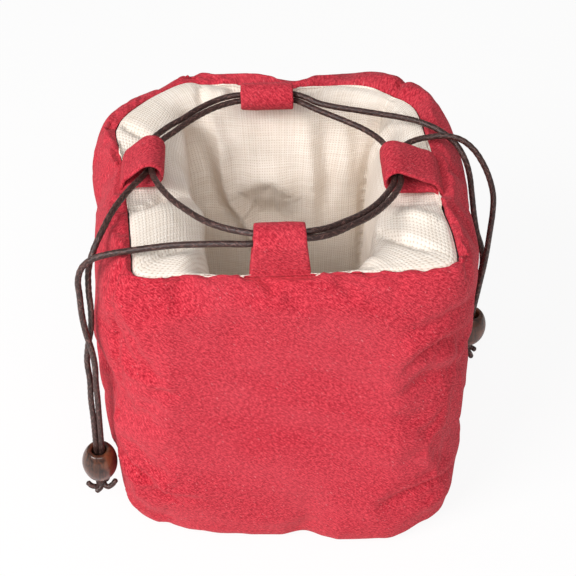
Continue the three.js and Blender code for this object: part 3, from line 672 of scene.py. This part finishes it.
def skin_rings():
    """The whole skin as rings, and where its parts begin: base, wall, lining and floor."""
    foot = wall_plan(0)
    rings = [level(MIDDLE + (foot - MIDDLE) * share, 0.0) for share in BASE_SHARES]
    marks = {"wall": len(rings)}
    belly = wall_plan(FOOT_ROUND)
    for height in (0, 0.9, 3, 6, FOOT_ROUND):
        share = math.sqrt(max(0, 1 - (1 - height / FOOT_ROUND) ** 2))
        rings.append(level(foot + (belly - foot) * share, height))
    shoulder, mouth = drawn_outline(SHOULDER), drawn_outline(MOUTH)
    lift = np.interp(np.degrees(np.arctan2(np.sin(ANGLES), np.cos(ANGLES))), *zip(*RIM_LIFT))
    top = BODY[-1, 0]
    for height in np.linspace(FOOT_ROUND, SHOULDER_HEIGHT, 31)[1:]:
        share = eased((height - top) / (SHOULDER_HEIGHT - top))
        plan = wall_plan(min(height, top))
        rings.append(level(plan + (shoulder - plan) * share, height))
    last = math.radians(ROLL_TURN)
    for turn in np.linspace(0, last, 12)[1:]:
        share = (1 - math.cos(turn)) / (1 - math.cos(last))
        kept = lift * min(1, 1 - 0.7 * (turn - math.pi / 2) / (last - math.pi / 2))
        rings.append(level(shoulder + (mouth - shoulder) * share,
                           SHOULDER_HEIGHT + (RIM_RISE + kept) * math.sin(turn)))
    for ring in rings:
        fade = np.clip((SET_BACK_TOP - ring[:, 2]) / SET_BACK_FADE, 0, 1)
        fade *= np.clip(-ring[:, 1] / SET_BACK_FRONT, 0, 1)
        ring[:, 1] += fade * np.interp(ring[:, 0], *zip(*SET_BACK))
    marks["seam"] = len(rings) - 1
    deep = drawn_outline(LINING)
    rings += padding_rings(rings[-1], drawn_outline(PAD_EDGE), deep)
    for height in np.linspace(LINING_TOP, FLOOR_HEIGHT + FLOOR_ROUND, 23)[1:]:
        rings.append(level(deep, height))
    for turn in np.radians((22, 45, 68, 90)):
        inset = FLOOR_ROUND * (1 - math.cos(turn))
        share = 1 - inset / FLOOR_REACH
        height = FLOOR_HEIGHT + FLOOR_ROUND * (1 - math.sin(turn))
        rings.append(level(MIDDLE + (deep - MIDDLE) * share, height))
    marks["floor"] = len(rings) - 1
    edge = rings[-1][:, :2]
    rings += [level(MIDDLE + (edge - MIDDLE) * share, FLOOR_HEIGHT) for share in FLOOR_SHARES]
    return np.array(rings), marks


def grid_normals(rings):
    """Unit normals of a grid of rings, facing away from the padding."""
    round_way = np.roll(rings, -1, 1) - np.roll(rings, 1, 1)
    up = np.gradient(rings, axis=0)
    found = np.cross(round_way, up)
    size = np.linalg.norm(found, axis=2)[..., None]
    return found / np.maximum(size, 1e-9)


def finer(rings, times):
    """The same grid with more rings and columns, through a smooth curve both ways."""
    steps = np.arange(times) / times
    wide = np.stack([between(np.roll(rings, 1, 1), rings, np.roll(rings, -1, 1), np.roll(rings, -2, 1), t)
                     for t in steps], 2)
    wide = wide.reshape(rings.shape[0], -1, 3)
    padded = np.concatenate([2 * wide[:1] - wide[1:2], wide, 2 * wide[-1:] - wide[-2:-1]])
    tall = np.stack([between(padded[:-3], padded[1:-2], padded[2:-1], padded[3:], t) for t in steps], 1)
    return np.concatenate([tall.reshape(-1, *wide.shape[1:]), wide[-1:]])


# Fabric pieces cut from the skin.

CLOTH = 0.9
SEAM_GAP = 0.25
LAYER_GAP = 0.4
FINER = 3
# The wadding is cut from every few rings of the two fabrics, and from every second column.
WADDING_STEP = 4
WADDING_PASSES = 14
WADDING_DEPTH = 2.4
# Heights, and how deep the wadding lies behind the outer fabric there: deeper where the base is creased.
WALL_DEPTH = ((60, 4.6), (114, 3.4))


def cloth_uv(rings):
    """For each point of a grid, its distance round and along the cloth in millimetres."""
    widest = rings[len(rings) // 2]
    round_way = np.concatenate([[0], np.cumsum(np.linalg.norm(np.roll(widest, -1, 0) - widest, axis=1))])
    step = np.linalg.norm(np.diff(rings, axis=0), axis=2).mean(1)
    along = np.concatenate([[0], np.cumsum(step)])
    return round_way, along


def fabric_shell(name, rings, material):
    """A sheet of cloth from the side that is seen, with its hidden side one thickness behind, sewn shut."""
    hidden = (rings - grid_normals(rings) * CLOTH)[::-1]
    both = np.concatenate([rings, hidden])
    total, columns = both.shape[:2]
    around, along = cloth_uv(rings)
    along = np.concatenate([along, along[-1] + 1 + (along[-1] - along[::-1])])
    tops = np.append(along[1:], along[-1] + 1)
    uv = [corner for r in range(total) for c in range(columns)
          for corner in ((around[c], along[r]), (around[c + 1], along[r]), (around[c + 1], tops[r]),
                         (around[c], tops[r]))]
    faces = grid_faces(total, columns, shut=True)
    return facing_out(mesh_object(name, both.reshape(-1, 3), faces, material, uv))


def padding(piece, node):
    dress(piece, node)


def wadding_pieces(wall, inner):
    """The padding: a thick wall between the two fabrics, and a pad under the floor."""
    wall = neighbour_mean(wall, WADDING_PASSES)
    depth = np.interp(wall[..., 2], *zip(*WALL_DEPTH))[..., None]
    wall = wall - grid_normals(wall) * depth
    wall = wall[WADDING_STEP * 2:-WADDING_STEP * 5:WADDING_STEP, ::2]
    inner = inner - grid_normals(inner) * WADDING_DEPTH
    inner = inner[WADDING_STEP * 6:-WADDING_STEP * 3:WADDING_STEP, ::2]
    low = CLOTH + LAYER_GAP
    foot = inner[-1:].copy()
    foot[..., 2] = low
    toe = wall[:1].copy()
    toe[..., :2] = MIDDLE + (toe[..., :2] - MIDDLE) * 0.93
    toe[..., 2] = low
    section = np.concatenate([toe, wall, inner, foot])
    faces = grid_faces(*section.shape[:2], shut=True)
    padding(facing_out(mesh_object("wall_wadding", section.reshape(-1, 3), faces, WADDING)), "wadding_wall")
    edge = MIDDLE + (foot[0, :, :2] - MIDDLE) * 0.985
    top = FLOOR_HEIGHT - CLOTH - LAYER_GAP
    levels = [(0.3, low), (0.8, low), (0.97, low), (1, low + 2), (1, top - 2), (0.96, top), (0.8, top),
              (0.3, top)]
    pad_rings = np.array([level(MIDDLE + (edge - MIDDLE) * share, height) for share, height in levels])
    padding(closed_rings("floor_wadding", pad_rings, WADDING), "wadding_base")


def closed_rings(name, rings, material, uv=False):
    """A closed solid through rings, with its first and last ring drawn to their middles."""
    count, columns = rings.shape[:2]
    vertices = np.concatenate([rings.reshape(-1, 3), rings[:1].mean(1), rings[-1:].mean(1)])
    faces = grid_faces(count, columns)
    first, last = count * columns, (count - 1) * columns
    faces += [(first, (c + 1) % columns, c) for c in range(columns)]
    faces += [(first + 1, last + c, last + (c + 1) % columns) for c in range(columns)]
    flat = [vertices[corner][:2] for face in faces for corner in face] if uv else None
    return facing_out(mesh_object(name, vertices, faces, material, flat))


def fabric_panel(name, plan, height, gap, material):
    """A square of cloth that lies level inside a plan, with its edge turned down a little."""
    low, high = height - CLOTH, height
    levels = [(0.3, low), (0.7, low), (0.97, low), (1, low + CLOTH / 2), (0.97, high), (0.7, high),
              (0.3, high)]
    edge = plan - (plan - MIDDLE) / np.linalg.norm(plan - MIDDLE, axis=1)[:, None] * gap
    rings = np.array([level(MIDDLE + (edge - MIDDLE) * share, z) for share, z in levels])
    return closed_rings(name, rings, material, uv=True)


def parted(rings, way):
    """The last or first ring moved off the seam line, so that the two fabrics stand beside each other."""
    edge = rings[-1] if way > 0 else rings[0]
    out = edge[:, :2] - MIDDLE
    edge[:, :2] += way * SEAM_GAP * out / np.linalg.norm(out, axis=1)[:, None]


def cut_pieces(rings, marks):
    """The outer fabric, the lining and the wadding, all cut from the one skin."""
    wall = finer(rings[marks["wall"]:marks["seam"] + 1], FINER)
    inner = finer(rings[marks["seam"]:marks["floor"] + 1], FINER)
    wall, inner = shaped(wall, OUTER_FOLDS), shaped(inner, LINING_FOLDS)
    wall[..., 2] = np.maximum(wall[..., 2], 0)
    parted(wall, 1)
    parted(inner, -1)
    dress(fabric_shell("outer_fabric_wall", wall, RED_CREPE), "outer_wall")
    dress(fabric_shell("lining_fabric_wall", inner, LINEN), "lining_wall")
    foot = rings[marks["wall"]][:, :2]
    dress(fabric_panel("outer_fabric_base", foot, CLOTH, SEAM_GAP + CLOTH, RED_CREPE), "outer_base")
    edge = rings[marks["floor"]][:, :2]
    dress(fabric_panel("lining_fabric_floor", edge, FLOOR_HEIGHT, SEAM_GAP, LINEN), "lining_base")
    wadding_pieces(wall, inner)


# The fabric loops: the strap's thickness, how far apart its two ends are, the height where they leave the
# seam, and the height where they end inside it.
STRAP = 1.3
LOOP_FOOT = 3.4
LOOP_SEAT = 132.4
LOOP_SEWN = 131.6
# Each loop's node, its side of the bag in degrees, how far along that side it stands, how far out its foot is
# from the middle, how far it leans in over the mouth, its length, how thick its tip is, its width, and its
# tip's width.
LOOPS = (
    ("front_loop", -90, -1.8, 52.7, 6, 18, 5.2, 20.2, 16.6),
    ("right_loop", 0, -3.5, 55.2, 79, 20, 4.8, 20, 19),
    ("back_loop", 90, 4, 52.3, 69, 19.3, 5, 20, 19.6),
    ("left_loop", 180, -2, 55.4, 69, 15, 5, 18.5, 18),
)

# Folds and dents.

# Each fold is a line in space near the cloth, how far it stands out, or in where negative, and its half
# width.
OUTER_FOLDS = (
    # The base's front corners: a crease over each sagging roll.
    (((-60.5, -54, 47), (-57, -58, 45), (-51.5, -62, 41), (-46, -64, 35), (-41, -65, 29)), 1.2, 2.2),
    (((-61.5, -52, 42), (-57, -58, 40), (-51.5, -62, 36), (-46.5, -64, 30), (-42.5, -65, 24)), -2.1, 3.0),
    (((-63, -44, 30), (-61, -53, 30), (-57, -58, 26), (-52, -61, 20), (-46, -62, 12)), 0.8, 3.4),
    (((-62, -48, 18), (-58, -55, 12), (-51, -60, 5)), 1.4, 3.4),
    (((66, -46, 26), (62, -53, 28.5), (56.5, -59, 31), (50, -63, 30), (43, -65, 27), (34, -66, 23)), -2.6, 2.4),
    (((66, -47, 17), (59, -58, 19), (50, -63, 17), (38, -65, 13)), 1.4, 4.4),
    # Drag lines run in from the right edge and fade out across the front.
    (((65, -42, 110), (61, -51, 113), (56, -57, 114.5), (48, -60, 113.5), (38, -61, 111)), -1.7, 2.6),
    (((66, -42, 100), (61, -51, 104), (55, -58, 107), (46, -61, 105), (36, -62, 100)), 1.2, 3.0),
    (((65, -42, 94), (61, -51, 97), (55, -58, 99), (47, -61, 98), (36, -62, 91)), -2.2, 2.8),
    (((66, -42, 84), (61, -51, 90), (55, -58, 92.5), (47, -61, 91.5), (36, -62, 85)), 1.3, 2.8),
    (((65, -44, 77), (61, -52, 83), (55, -58, 85.5), (48, -61, 86), (36, -63, 80)), -1.8, 2.6),
    (((66, -48, 84), (66, -48, 70), (65, -48, 56), (64, -50, 40)), 0.9, 1.8),
    (((63, -54, 80), (63, -54, 66), (62, -55, 50), (61, -56, 38)), -0.9, 2.4),
    # A narrow crease runs down beside the left corner, and two faint ridges run in from it.
    (((-58.3, -54, 129), (-59.3, -55, 115), (-60.5, -56, 101), (-62, -56, 87), (-62.6, -56, 72)), -1.9, 1.8),
    (((-57, -57, 133), (-53.5, -60, 120), (-49, -61.5, 106), (-43, -62.5, 93), (-36, -63, 82)), 0.9, 2.0),
    (((-59, -57, 118), (-53.5, -60, 101), (-47, -62, 89), (-38, -63, 76)), 0.8, 2.0),
    # Puckers under the rim, where the loops and the corners pull.
    (((-66, 30, 124), (-67, 28, 108), (-66, 26, 92)), -1.4, 3.4),
    (((-65, 6, 126), (-66.5, 3, 110)), -1.0, 3.0),
    (((-63, -24, 126), (-65, -26, 108), (-66, -28, 92)), -1.1, 3.6),
    (((64, -34, 126), (67, -36, 110), (67, -34, 92)), -1.2, 3.4),
    (((65, 26, 126), (66, 26, 108)), -1.0, 3.2),
    (((36, 70, 126), (40, 69, 108)), -1.4, 3.0),
    (((-36, 70, 126), (-38, 69, 108)), -1.4, 3.0),
    (((-14, -59, 127), (-18, -62, 112), (-20, -63, 100)), -0.6, 4.0),
    (((12, -59, 127), (14, -62, 114)), -0.6, 4.0),
    # Creases across the rim, where the corners of the mouth are drawn in.
    (((43, 44, 133), (46, 49, 136), (50, 56, 134), (52, 60, 128)), -2.4, 1.8),
    (((-30, 57, 133), (-33, 62, 136), (-35, 67, 133)), -1.6, 2.0),
    (((-60, 30, 133), (-64, 31, 135), (-68, 32, 130)), -2.0, 2.2),
    (((56, -22, 133), (60, -22, 134), (65, -20, 128)), -1.6, 2.2),
    (((56, -46, 133), (60, -50, 133), (64, -52, 124)), -1.6, 2.4),
)
LINING_FOLDS = (
    # A ridge runs down the back from the left, between a hollow and a pillow of padding with shade below it.
    (((-27.4, 46, 130), (-21.8, 41, 116), (-20.9, 40, 104), (-17.7, 40, 92), (-12.4, 39, 80), (-8, 39, 66)),
     4.8, 3.0),
    (((-32, 44, 122), (-30, 41, 110), (-28, 40, 97), (-24, 39, 84)), -5.2, 4.6),
    (((-17, 40, 94), (-11, 40, 100), (-4, 40, 103), (2, 40, 99), (6, 40, 91)), 3.6, 4.2),
    (((-14, 39, 86), (-7, 39, 84), (0, 39, 83), (6, 39, 84)), -4.6, 7.0),
    # Slack folds hang down the right half of the back.
    (((10, 46, 128), (12, 41, 112), (13, 40, 92), (13, 39, 72)), 2.6, 3.2),
    (((18, 46, 126), (19, 41, 108), (19, 40, 84)), -2.2, 3.4),
    (((26, 46, 128), (27, 41, 110), (27, 40, 90)), 1.8, 3.2),
    # The corner seam at the back right, with its slack beside it.
    (((45, 45, 134), (42, 43, 127), (38.5, 41, 118), (36, 40, 106), (35, 40, 90), (34.6, 39, 74), (35, 39, 50)),
     -3.4, 1.7),
    (((47, 36, 134), (44, 33, 129), (40, 32, 119), (38, 32, 106)), 1.8, 2.6),
    # The left padding: a pucker at its back corner, and a crease where the front part goes under the loop.
    (((-59, 31, 134), (-53, 26, 134), (-47, 22, 134)), -2.2, 2.0),
    (((-30, 56, 134), (-29, 51, 132), (-28.5, 47, 129)), -2.2, 1.9),
    (((-20, 55, 134), (-21, 50, 132), (-22, 46, 128)), 1.4, 2.2),
    (((-52, -20, 134), (-46, -15, 133), (-40.5, -7, 129), (-35, -3, 122)), -2.8, 1.9),
    (((-44, -46, 134), (-38, -42, 131), (-32, -38, 126)), -1.8, 2.2),
    # The right padding: folds fan out from the front corner.
    (((50, -46, 134), (44, -42, 132), (38, -34, 128), (35, -26, 122)), -2.4, 2.1),
    (((53, -30, 134), (46, -27, 133), (39, -22, 128)), 2.0, 3.0),
    (((53, -16, 134), (46, -16, 133), (40, -14, 128)), -1.8, 2.6),
)


def point_tree(points):
    """A tree that finds the nearest of some points."""
    tree = kdtree.KDTree(len(points))
    for i, point in enumerate(points):
        tree.insert(point, i)
    tree.balance()
    return tree


def folded(grid, folds):
    """A grid pushed out along folds and in along creases. Each fades out at both its ends."""
    flat = grid.reshape(-1, 3).copy()
    normals = grid_normals(grid).reshape(-1, 3)
    tree = point_tree(flat)
    push = np.zeros(len(flat))
    for line, height, width in folds:
        path = np.array([tree.find(point)[0] for point in smooth_path(line, 1.5)])
        low, high = path.min(0) - 3 * width, path.max(0) + 3 * width
        near = np.flatnonzero((flat > low).all(1) & (flat < high).all(1))
        apart = np.linalg.norm(flat[near, None] - path[None], axis=2)
        closest = apart.argmin(1)
        fade = np.sin(math.pi * (closest + 0.5) / len(path)) ** 0.7
        push[near] += height * fade * np.exp(-(apart.min(1) / width) ** 2)
    return (flat + normals * push[:, None]).reshape(grid.shape)


# A dent is this many clearances wide, fades out from that far from the path over DENT_FADE, and is at most
# DENT_CAP deep.
DENT_REACH = 1.8
DENT_FADE = 0.4
DENT_CAP = 3.5


def pressed(grid, path, clearance):
    """A grid dented where a cord or a bead lies along it, so that the cloth keeps clear of it."""
    reach = DENT_REACH * clearance
    tree = point_tree(path)
    flat = grid.reshape(-1, 3).copy()
    normals = grid_normals(grid).reshape(-1, 3)
    low, high = path.min(0) - 3 * clearance, path.max(0) + 3 * clearance
    for i in np.flatnonzero((flat > low).all(1) & (flat < high).all(1)):
        nearest = np.array(tree.find(flat[i])[0])
        toward = nearest - flat[i]
        above = toward @ normals[i]
        apart = math.sqrt(toward @ toward)
        aside = math.sqrt(max(0.0, apart * apart - above * above))
        near = min(1.0, max(0.0, (DENT_REACH - apart / clearance) / DENT_FADE))
        if near and aside < reach:
            need = clearance * math.cos(math.pi / 2 * aside / reach) - above
            flat[i] -= normals[i] * near * min(max(need, 0), DENT_CAP)
    return flat.reshape(grid.shape)


# The cloth stays this far under a loop's seat, and may rise again this far beside the loop, outwards from
# its foot, and inwards past its tip.
UNDER_LOOP = 0.55
BESIDE_LOOP = 11
BEHIND_LOOP = 3
PAST_TIP = 4


def under_loops(grid):
    """A grid kept under the loops that lie over the padding."""
    for _, side, along, out, lean, length, *_ in LOOPS:
        cos, sin = math.cos(math.radians(side)), math.sin(math.radians(side))
        from_middle = grid[..., 0] * cos + grid[..., 1] * sin
        beside = np.abs(grid[..., 1] * cos - grid[..., 0] * sin - along)
        depth = length * math.sin(math.radians(lean))
        off = np.maximum(0, beside - BESIDE_LOOP) + np.maximum(0, from_middle - out - BEHIND_LOOP)
        off = off + np.maximum(0, out - depth - PAST_TIP - from_middle)
        grid[..., 2] = np.minimum(grid[..., 2], LOOP_SEAT - UNDER_LOOP + 0.35 * off ** 1.4)
    return grid


def shaped(grid, folds):
    """A grid of cloth with its folds, and clear of the cords, beads and loops that lie on it."""
    grid = folded(grid, folds)
    for route in (LEFT_CORD_RING, RIGHT_CORD_RING, LEFT_CORD_SIDE, LEFT_CORD_FRONT, RIGHT_CORD_FRONT,
                  RIGHT_CORD_BACK):
        grid = pressed(grid, smooth_path(route, 1.0), CORD_RADIUS + LAYER_GAP)
    for bead, rise in ((LEFT_BEAD, LEFT_BEAD_RISE), (RIGHT_BEAD, RIGHT_BEAD_RISE)):
        (x, y, z), lean = bead
        slope = math.tan(math.radians(lean))
        heights = np.arange(-BEAD_HALF, rise + BEAD_HALF, 1.0)
        path = np.column_stack([x + heights * slope, np.full(len(heights), y), z + heights])
        grid = pressed(grid, path, BEAD_RADIUS + LAYER_GAP)
    return under_loops(grid)


# Padding pushes the skin out.

PUFF_FRAMES = 20
PUFF_CAP = 4.5
CORNER_GRIP = 0.6
SPARE_CLOTH = 0.03
SWELL_PASSES = 60
SLACK_PASSES = 9
FOOT_EASE = 6


def neighbour_mean(field, passes):
    """A field on the grid, averaged with its neighbours over and over."""
    for _ in range(passes):
        tall = np.concatenate([field[:1], field, field[-1:]])
        field = (field + np.roll(field, 1, 1) + np.roll(field, -1, 1) + tall[:-2] + tall[2:]) / 5
    return field


def puffed(rings, marks):
    """The skin after a short cloth simulation: the wadding pushes it out between its sewn lines, and the
    spare cloth gathers in soft folds beside them."""
    count, columns = rings.shape[:2]
    body = closed_rings("padded_skin", rings, RED_CREPE)
    sewn = body.vertex_groups.new(name="sewn")
    pins = np.zeros((count, columns))
    pins[:marks["wall"] + 1] = 1
    pins[marks["seam"]] = 1
    pins[marks["floor"]:] = 1
    corners = np.abs((np.arange(columns) / columns * 4 + 0.5) % 1 - 0.5) * columns / 4
    pins[marks["seam"]:marks["floor"]] = np.maximum(pins[marks["seam"]:marks["floor"]],
                                                   np.where(corners < 0.6, CORNER_GRIP, 0))
    for weight in (CORNER_GRIP, 1.0):
        chosen = np.flatnonzero(pins.ravel() == weight).tolist()
        sewn.add(chosen, weight, "REPLACE")
    sewn.add([count * columns, count * columns + 1], 1.0, "REPLACE")
    cloth = body.modifiers.new("cloth", "CLOTH")
    settings = cloth.settings
    settings.quality = 5
    settings.mass = 0.2
    settings.use_pressure = True
    settings.uniform_pressure_force = 4
    settings.effector_weights.gravity = 0
    settings.vertex_group_mass = "sewn"
    settings.shrink_min = -SPARE_CLOTH
    settings.tension_stiffness = settings.compression_stiffness = 12
    settings.bending_stiffness = 0.6
    cloth.point_cache.frame_end = PUFF_FRAMES
    for number in range(1, PUFF_FRAMES + 1):
        bpy.context.scene.frame_set(number)
    found = body.evaluated_get(bpy.context.evaluated_depsgraph_get()).data
    place = np.empty(len(found.vertices) * 3)
    found.vertices.foreach_get("co", place)
    place = place.reshape(-1, 3)[:count * columns].reshape(rings.shape) / MM
    bpy.data.objects.remove(body)
    bpy.context.scene.frame_set(1)
    moved = place - rings
    size = np.linalg.norm(moved, axis=2)[..., None]
    moved *= np.minimum(1, PUFF_CAP / np.maximum(size, 1e-9))
    # The outer wall already has its swollen outline, so only its folds are kept.
    outer = slice(marks["wall"], marks["seam"] + 1)
    kept = moved[outer] - neighbour_mean(moved[outer], SWELL_PASSES)
    ease = np.clip(np.arange(len(kept)) / FOOT_EASE, 0, 1)[:, None, None]
    moved[outer] = kept * ease * (1 - pins[outer, :, None])
    # The lining's slack is evened out, so that only its soft swelling stays.
    inner = slice(marks["seam"], marks["floor"] + 1)
    moved[inner] = neighbour_mean(moved[inner], SLACK_PASSES) * (1 - np.floor(pins[inner, :, None]))
    result = rings + moved
    result[..., 2] = np.maximum(result[..., 2], 0)
    return result, marks


cut_pieces(*puffed(*skin_rings()))


# Fabric loops.

STITCH_RISE = 3.6
STITCH_PITCH = 2.6
STITCH_LENGTH = 2.0
THREAD_WIDTH = 0.34


def loop_point(side, along, out, height):
    """A point given by its distance out from the middle, along one side of the bag, and up."""
    cos, sin = math.cos(math.radians(side)), math.sin(math.radians(side))
    return np.stack([out * cos - along * sin, out * sin + along * cos, height], -1)


def fabric_loop(node, side, along, out, lean, length, tip, width, tip_width):
    """A folded strap: up from the seam, round over the cords, and back down into the seam."""
    tilt = math.radians(lean)
    centre, round_tip, half = length - tip, tip - STRAP / 2, (LOOP_FOOT - STRAP) / 2
    tangent = math.atan2(-centre, half) + math.acos(round_tip / math.hypot(half, centre))
    arc = [(round_tip * math.cos(a), centre + round_tip * math.sin(a))
           for a in np.linspace(tangent, math.pi - tangent, 17)]
    straight = [(half + (arc[0][0] - half) * t, arc[0][1] * t) for t in (0.12, 0.4, 0.7)]
    route = straight + arc + [(-v, s) for v, s in reversed(straight)]
    flat = np.array([(out - s * math.sin(tilt) + v * math.cos(tilt),
                      LOOP_SEAT + LOOP_FOOT / 2 * math.sin(tilt) + s * math.cos(tilt) + v * math.sin(tilt))
                     for v, s in route])
    sewn = [(out + 1.2, LOOP_SEWN), (out + 0.1, LOOP_SEWN)]
    flat = np.vstack([sewn[:1], flat, sewn[1:]])
    path = smooth_path(np.column_stack([flat, np.zeros(len(flat))]), 0.7)[:, :2]
    along_way = np.gradient(path, axis=0)
    along_way /= np.linalg.norm(along_way, axis=1)[:, None]
    normal = np.column_stack([along_way[:, 1], -along_way[:, 0]])
    travelled = np.concatenate([[0], np.cumsum(np.linalg.norm(np.diff(path, axis=0), axis=1))])
    share = np.sin(math.pi * travelled / travelled[-1]) ** 1.3
    # The strap's section, its two faces and rounded folds, as places across the width and the thickness.
    faces_across = np.linspace(-1, 1, 15)
    turns = (0.8, 1.57, 2.35)
    section = [(w, 1, 0) for w in faces_across] + [(1, math.cos(a), math.sin(a)) for a in turns]
    section += [(w, -1, 0) for w in faces_across[::-1]] + [(-1, math.cos(a), math.sin(a)) for a in turns[::-1]]
    vertices, uv_point = [], []
    for k, (spot, across) in enumerate(zip(path, normal)):
        half_width = (width + (tip_width - width) * share[k]) / 2 - STRAP / 2
        for j, (w, thick, edge) in enumerate(section):
            wave = noise.noise(Vector((w * 1.3, travelled[k] * 0.16, side))) * 0.35 * (0.3 + share[k])
            bulge = 0.12 * (1 - w * w) if thick == 1 else 0
            reach = STRAP / 2 * thick + bulge + wave * 0.5
            sideways = along + w * half_width + math.copysign(edge, w) * STRAP / 2 + 0.25 * noise.noise(
                Vector((w, travelled[k] * 0.2, side + 9)))
            out_at, height = spot + across * reach
            vertices.append(loop_point(side, sideways, out_at, height))
            uv_point.append((sideways + 5 * (thick < 0), travelled[k]))
    count, around = len(path), len(section)
    faces = grid_faces(count, around)
    faces += [tuple(range(around))[::-1], tuple((count - 1) * around + j for j in range(around))]
    uv = [uv_point[corner] for face in faces for corner in face]
    dress(facing_out(mesh_object(node + "_strap", vertices, faces, RED_CREPE, uv)), node)
    row = int(np.searchsorted(travelled, STITCH_RISE))
    return [vertices[row * around + j] for j in range(1, len(faces_across) - 1)]


def stitch_tree():
    """A node tree that lays stitches along a line: short rounded lengths of thread with gaps between them."""
    tree = bpy.data.node_groups.new("running_stitch", "GeometryNodeTree")
    tree.interface.new_socket("Line", in_out="INPUT", socket_type="NodeSocketGeometry")
    for name in ("Pitch", "Length", "Width"):
        tree.interface.new_socket(name, in_out="INPUT", socket_type="NodeSocketFloat")
    tree.interface.new_socket("Stitches", in_out="OUTPUT", socket_type="NodeSocketGeometry")
    given = put(tree, "NodeGroupInput").outputs
    curve = put(tree, "GeometryNodeMeshToCurve", {0: given["Line"]})
    spots = put(tree, "GeometryNodeResampleCurve", {"Curve": curve, "Length": given["Pitch"]}, mode="LENGTH")
    along = put(tree, "GeometryNodeInputTangent")
    turned = put(tree, "FunctionNodeAlignRotationToVector", {"Vector": along}, axis="Z")
    stitch = put(tree, "GeometryNodeMeshUVSphere", {"Segments": 10, "Rings": 8, "Radius": 0.5})
    size = put(tree, "ShaderNodeCombineXYZ", {0: given["Width"], 1: given["Width"], 2: given["Length"]})
    laid = put(tree, "GeometryNodeInstanceOnPoints", {
        "Points": spots, "Instance": stitch, "Rotation": turned, "Scale": size})
    solid = put(tree, "GeometryNodeRealizeInstances", {0: laid})
    smooth = put(tree, "GeometryNodeSetShadeSmooth", {"Geometry": solid})
    coloured = put(tree, "GeometryNodeSetMaterial", {"Geometry": smooth, "Material": THREAD})
    put(tree, "NodeGroupOutput", {0: coloured})
    return tree


def stitching(name, lines):
    """Rows of stitches along lines of points, as one plain mesh."""
    points, edges = [], []
    for line in lines:
        edges += [(len(points) + i, len(points) + i + 1) for i in range(len(line) - 1)]
        points += line
    mesh = bpy.data.meshes.new(name + "_lines")
    mesh.from_pydata((np.array(points) * MM).tolist(), edges, [])
    guide = bpy.data.objects.new(name + "_lines", mesh)
    bpy.context.collection.objects.link(guide)
    modifier = guide.modifiers.new("stitches", "NODES")
    modifier.node_group = stitch_tree()
    sizes = {"Pitch": STITCH_PITCH, "Length": STITCH_LENGTH, "Width": THREAD_WIDTH}
    for item in modifier.node_group.interface.items_tree:
        if item.name in sizes:
            modifier[item.identifier] = sizes[item.name] * MM
    made = bpy.data.meshes.new_from_object(guide.evaluated_get(bpy.context.evaluated_depsgraph_get()))
    bpy.data.objects.remove(guide)
    made.name = name
    piece = bpy.data.objects.new(name, made)
    bpy.context.collection.objects.link(piece)
    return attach(piece, "bag")


stitching("loop_stitching", [fabric_loop(*loop) for loop in LOOPS])


# Floor and light.

def add_floor():
    """A plain white floor. The camera sees it nearly white, with a tenth of the shadow that falls on it."""
    material = bpy.data.materials.new("white_floor_paper")
    tree = empty_tree(material)
    matte = put(tree, "ShaderNodeBsdfDiffuse", {"Color": linear("#f6f4f3")})
    bright = put(tree, "ShaderNodeEmission", {"Color": linear("#ffffff"), "Strength": 1.0})
    seen = put(tree, "ShaderNodeMath", {0: put(tree, "ShaderNodeLightPath").outputs["Is Camera Ray"], 1: 0.9},
               operation="MULTIPLY")
    mixed = put(tree, "ShaderNodeMixShader", {0: seen, 1: matte, 2: bright})
    put(tree, "ShaderNodeOutputMaterial", {"Surface": mixed})
    floor = mesh_object("floor", [(-3000, -3000, -0.1), (3000, -3000, -0.1), (3000, 3000, -0.1),
                                  (-3000, 3000, -0.1)], [(0, 1, 2, 3)], material)


def add_lamp(name, place, size, power):
    """A soft square lamp that faces the middle of the bag."""
    lamp = bpy.data.objects.new(name, bpy.data.lights.new(name, "AREA"))
    lamp.data.size = size
    lamp.data.energy = power
    lamp.location = place
    lamp.rotation_euler = (Vector((0, 0, 0.07)) - Vector(place)).to_track_quat("-Z", "Y").to_euler()
    bpy.context.collection.objects.link(lamp)


def add_world(strength):
    """Even white light from all round. The camera itself sees it as plain white."""
    world = bpy.data.worlds.new("studio")
    tree = empty_tree(world)
    seen = put(tree, "ShaderNodeLightPath").outputs["Is Camera Ray"]
    shown = put(tree, "ShaderNodeMath", {0: seen, 1: strength}, operation="MAXIMUM")
    light = put(tree, "ShaderNodeBackground", {"Color": linear("#ffffff"), "Strength": shown})
    put(tree, "ShaderNodeOutputWorld", {"Surface": light})
    bpy.context.scene.world = world


add_floor()
add_world(0.32)
add_lamp("softbox_left", (-0.72, -0.6, 0.8), 0.6, 11.5)
add_lamp("softbox_front", (0.1, -0.95, 1.1), 0.8, 7.5)
bpy.context.scene.view_settings.view_transform = "Standard"
